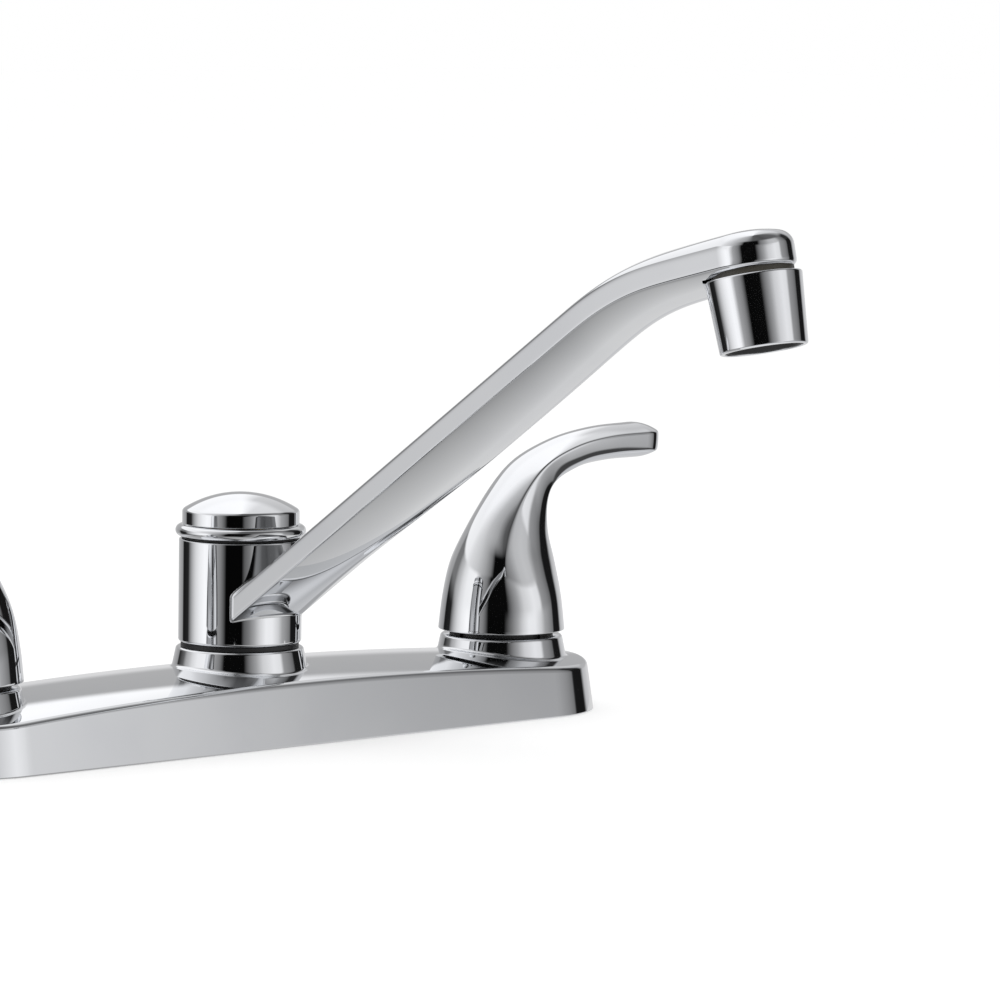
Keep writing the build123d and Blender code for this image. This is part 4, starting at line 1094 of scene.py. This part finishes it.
def blend_by_height(tree, height, start, end, lower, upper):
    """Goes from one colour to another between two heights of the direction."""
    share = add_node(tree, "ShaderNodeMapRange", {"Value": height, "From Min": start, "From Max": end},
                     interpolation_type="SMOOTHSTEP")
    mixed = add_node(tree, "ShaderNodeMix", {"Factor": share.outputs["Result"], "A": lower, "B": upper},
                     data_type="RGBA")
    return mixed.outputs["Result"]


def build_world():
    world = bpy.data.worlds.new("studio")
    bpy.context.scene.world = world
    world.use_nodes = True
    tree = world.node_tree
    tree.nodes.clear()
    direction = add_node(tree, "ShaderNodeTexCoord").outputs["Generated"]
    faced = add_node(tree, "ShaderNodeMapping", {
        "Vector": direction, "Rotation": (0, 0, math.radians(-towards_camera))}, vector_type="POINT")
    parts = add_node(tree, "ShaderNodeSeparateXYZ", {0: faced.outputs["Vector"]}).outputs
    compass = add_node(tree, "ShaderNodeMath", {0: parts["Y"], 1: parts["X"]}, operation="ARCTAN2")
    share = add_node(tree, "ShaderNodeMapRange", {
        "Value": compass.outputs[0], "From Min": -math.pi, "From Max": math.pi}).outputs["Result"]
    seen = card_ramp(tree, level_cards, share)
    for start, end, cards in rings:
        seen = blend_by_height(tree, parts["Z"], start, end, seen, card_ramp(tree, cards, share))
    for start, end, grey in table_top:
        seen = blend_by_height(tree, parts["Z"], start, end, seen, grey)
    metal, eye, matt = (add_node(tree, "ShaderNodeBackground", {"Color": colour}).outputs[0]
                        for colour in (seen, (1, 1, 1, 1), (0.8, 0.8, 0.8, 1)))
    rays = add_node(tree, "ShaderNodeLightPath").outputs
    bounced = add_node(tree, "ShaderNodeMixShader", {0: rays["Is Glossy Ray"], 1: matt, 2: metal})
    direct = add_node(tree, "ShaderNodeMath", {0: rays["Is Camera Ray"], 1: rays["Is Transmission Ray"]},
                      operation="MAXIMUM")
    whole = add_node(tree, "ShaderNodeMixShader", {0: direct.outputs[0], 1: bounced.outputs[0], 2: eye})
    add_node(tree, "ShaderNodeOutputWorld", {"Surface": whole.outputs[0]})


build_world()
bpy.context.scene.view_settings.view_transform = "Standard"
print("world built; the camera stands at", round(towards_camera, 1), "degrees")

# %% [markdown]
# ## Floor, deck card and lamp
# The floor only has to look white and catch the part's shadow. A white material under strong light
# would do it, but that light would bleach the chrome. So the floor adds its own glow for the eye
# alone, and metal looks through it into the world. Then the chrome would also mirror the brass that
# hangs below the deck, which a real counter hides. So a card just under the deck, seen by metal
# alone, hides that brass and plays the table top near the faucet. One large soft lamp above gives
# the faint shadow.

# %% Floor and deck card
def bare_material(name):
    """A material with nothing in it yet, and its tree."""
    made = bpy.data.materials.new(name)
    made.use_nodes = True
    made.node_tree.nodes.clear()
    return made, made.node_tree


def staged_sheet(name, west, east, south, north, height, material):
    """A flat sheet of the studio, in metres."""
    mesh = bpy.data.meshes.new(name)
    corners = [(west, south, height), (east, south, height), (east, north, height), (west, north, height)]
    mesh.from_pydata(corners, [], [(0, 1, 2, 3)])
    mesh.materials.append(material)
    sheet = new_object(name, mesh)
    sheet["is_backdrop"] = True
    return sheet


def white_paper():
    """Matt white that glows for the eye alone."""
    paper, tree = bare_material("white_paper")
    seen = add_node(tree, "ShaderNodeLightPath").outputs["Is Camera Ray"]
    matt = add_node(tree, "ShaderNodeBsdfDiffuse", {"Color": (0.8, 0.8, 0.8, 1)})
    glow = add_node(tree, "ShaderNodeEmission", {"Color": (0.36, 0.36, 0.36, 1), "Strength": seen})
    both = add_node(tree, "ShaderNodeAddShader", {0: matt.outputs[0], 1: glow.outputs[0]})
    add_node(tree, "ShaderNodeOutputMaterial", {"Surface": both.outputs[0]})
    return paper


def pale_card():
    """A glow that grows from grey on the hot side to pale on the cold side."""
    card, tree = bare_material("pale_card")
    place = add_node(tree, "ShaderNodeTexCoord").outputs["Object"]
    along = add_node(tree, "ShaderNodeSeparateXYZ", {0: place}).outputs["X"]
    shade = add_node(tree, "ShaderNodeMapRange", {
        "Value": along, "From Min": -0.08, "From Max": 0.06, "To Min": 0.36, "To Max": 0.72})
    glow = add_node(tree, "ShaderNodeEmission", {"Color": shade.outputs["Result"]})
    add_node(tree, "ShaderNodeOutputMaterial", {"Surface": glow.outputs[0]})
    return card


floor_height = -0.0002                  # just under the gasket, so that the two never share a plane
floor = staged_sheet("floor", -6.0, 6.0, -6.0, 6.0, floor_height, white_paper())
floor.visible_glossy = False
card = staged_sheet("deck_card", -0.2, 0.2, -0.17, 0.1, -0.002, pale_card())
card.visible_camera = card.visible_diffuse = card.visible_transmission = card.visible_shadow = False
print("floor and deck card placed")

# %% Lamp
softbox = bpy.data.lights.new("softbox", "AREA")
softbox.shape, softbox.size, softbox.size_y, softbox.energy = "RECTANGLE", 1.2, 1.0, 6.0
lamp = new_object("softbox", softbox)
lamp.location = (-0.6, -0.9, 1.6)
lamp.rotation_euler = (math.radians(35), 0, math.radians(-30))
lamp.visible_glossy = False
print("one soft lamp of", softbox.energy, "W")

# %% [markdown]
# ## Sizes
# The skins should fill the CAD model's box and not pass it. The box of all that is shown, without the
# studio sheets, is printed in millimetres.

low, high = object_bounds()
print("visual box", [round(v * 1000, 2) for v in low], [round(v * 1000, 2) for v in high])
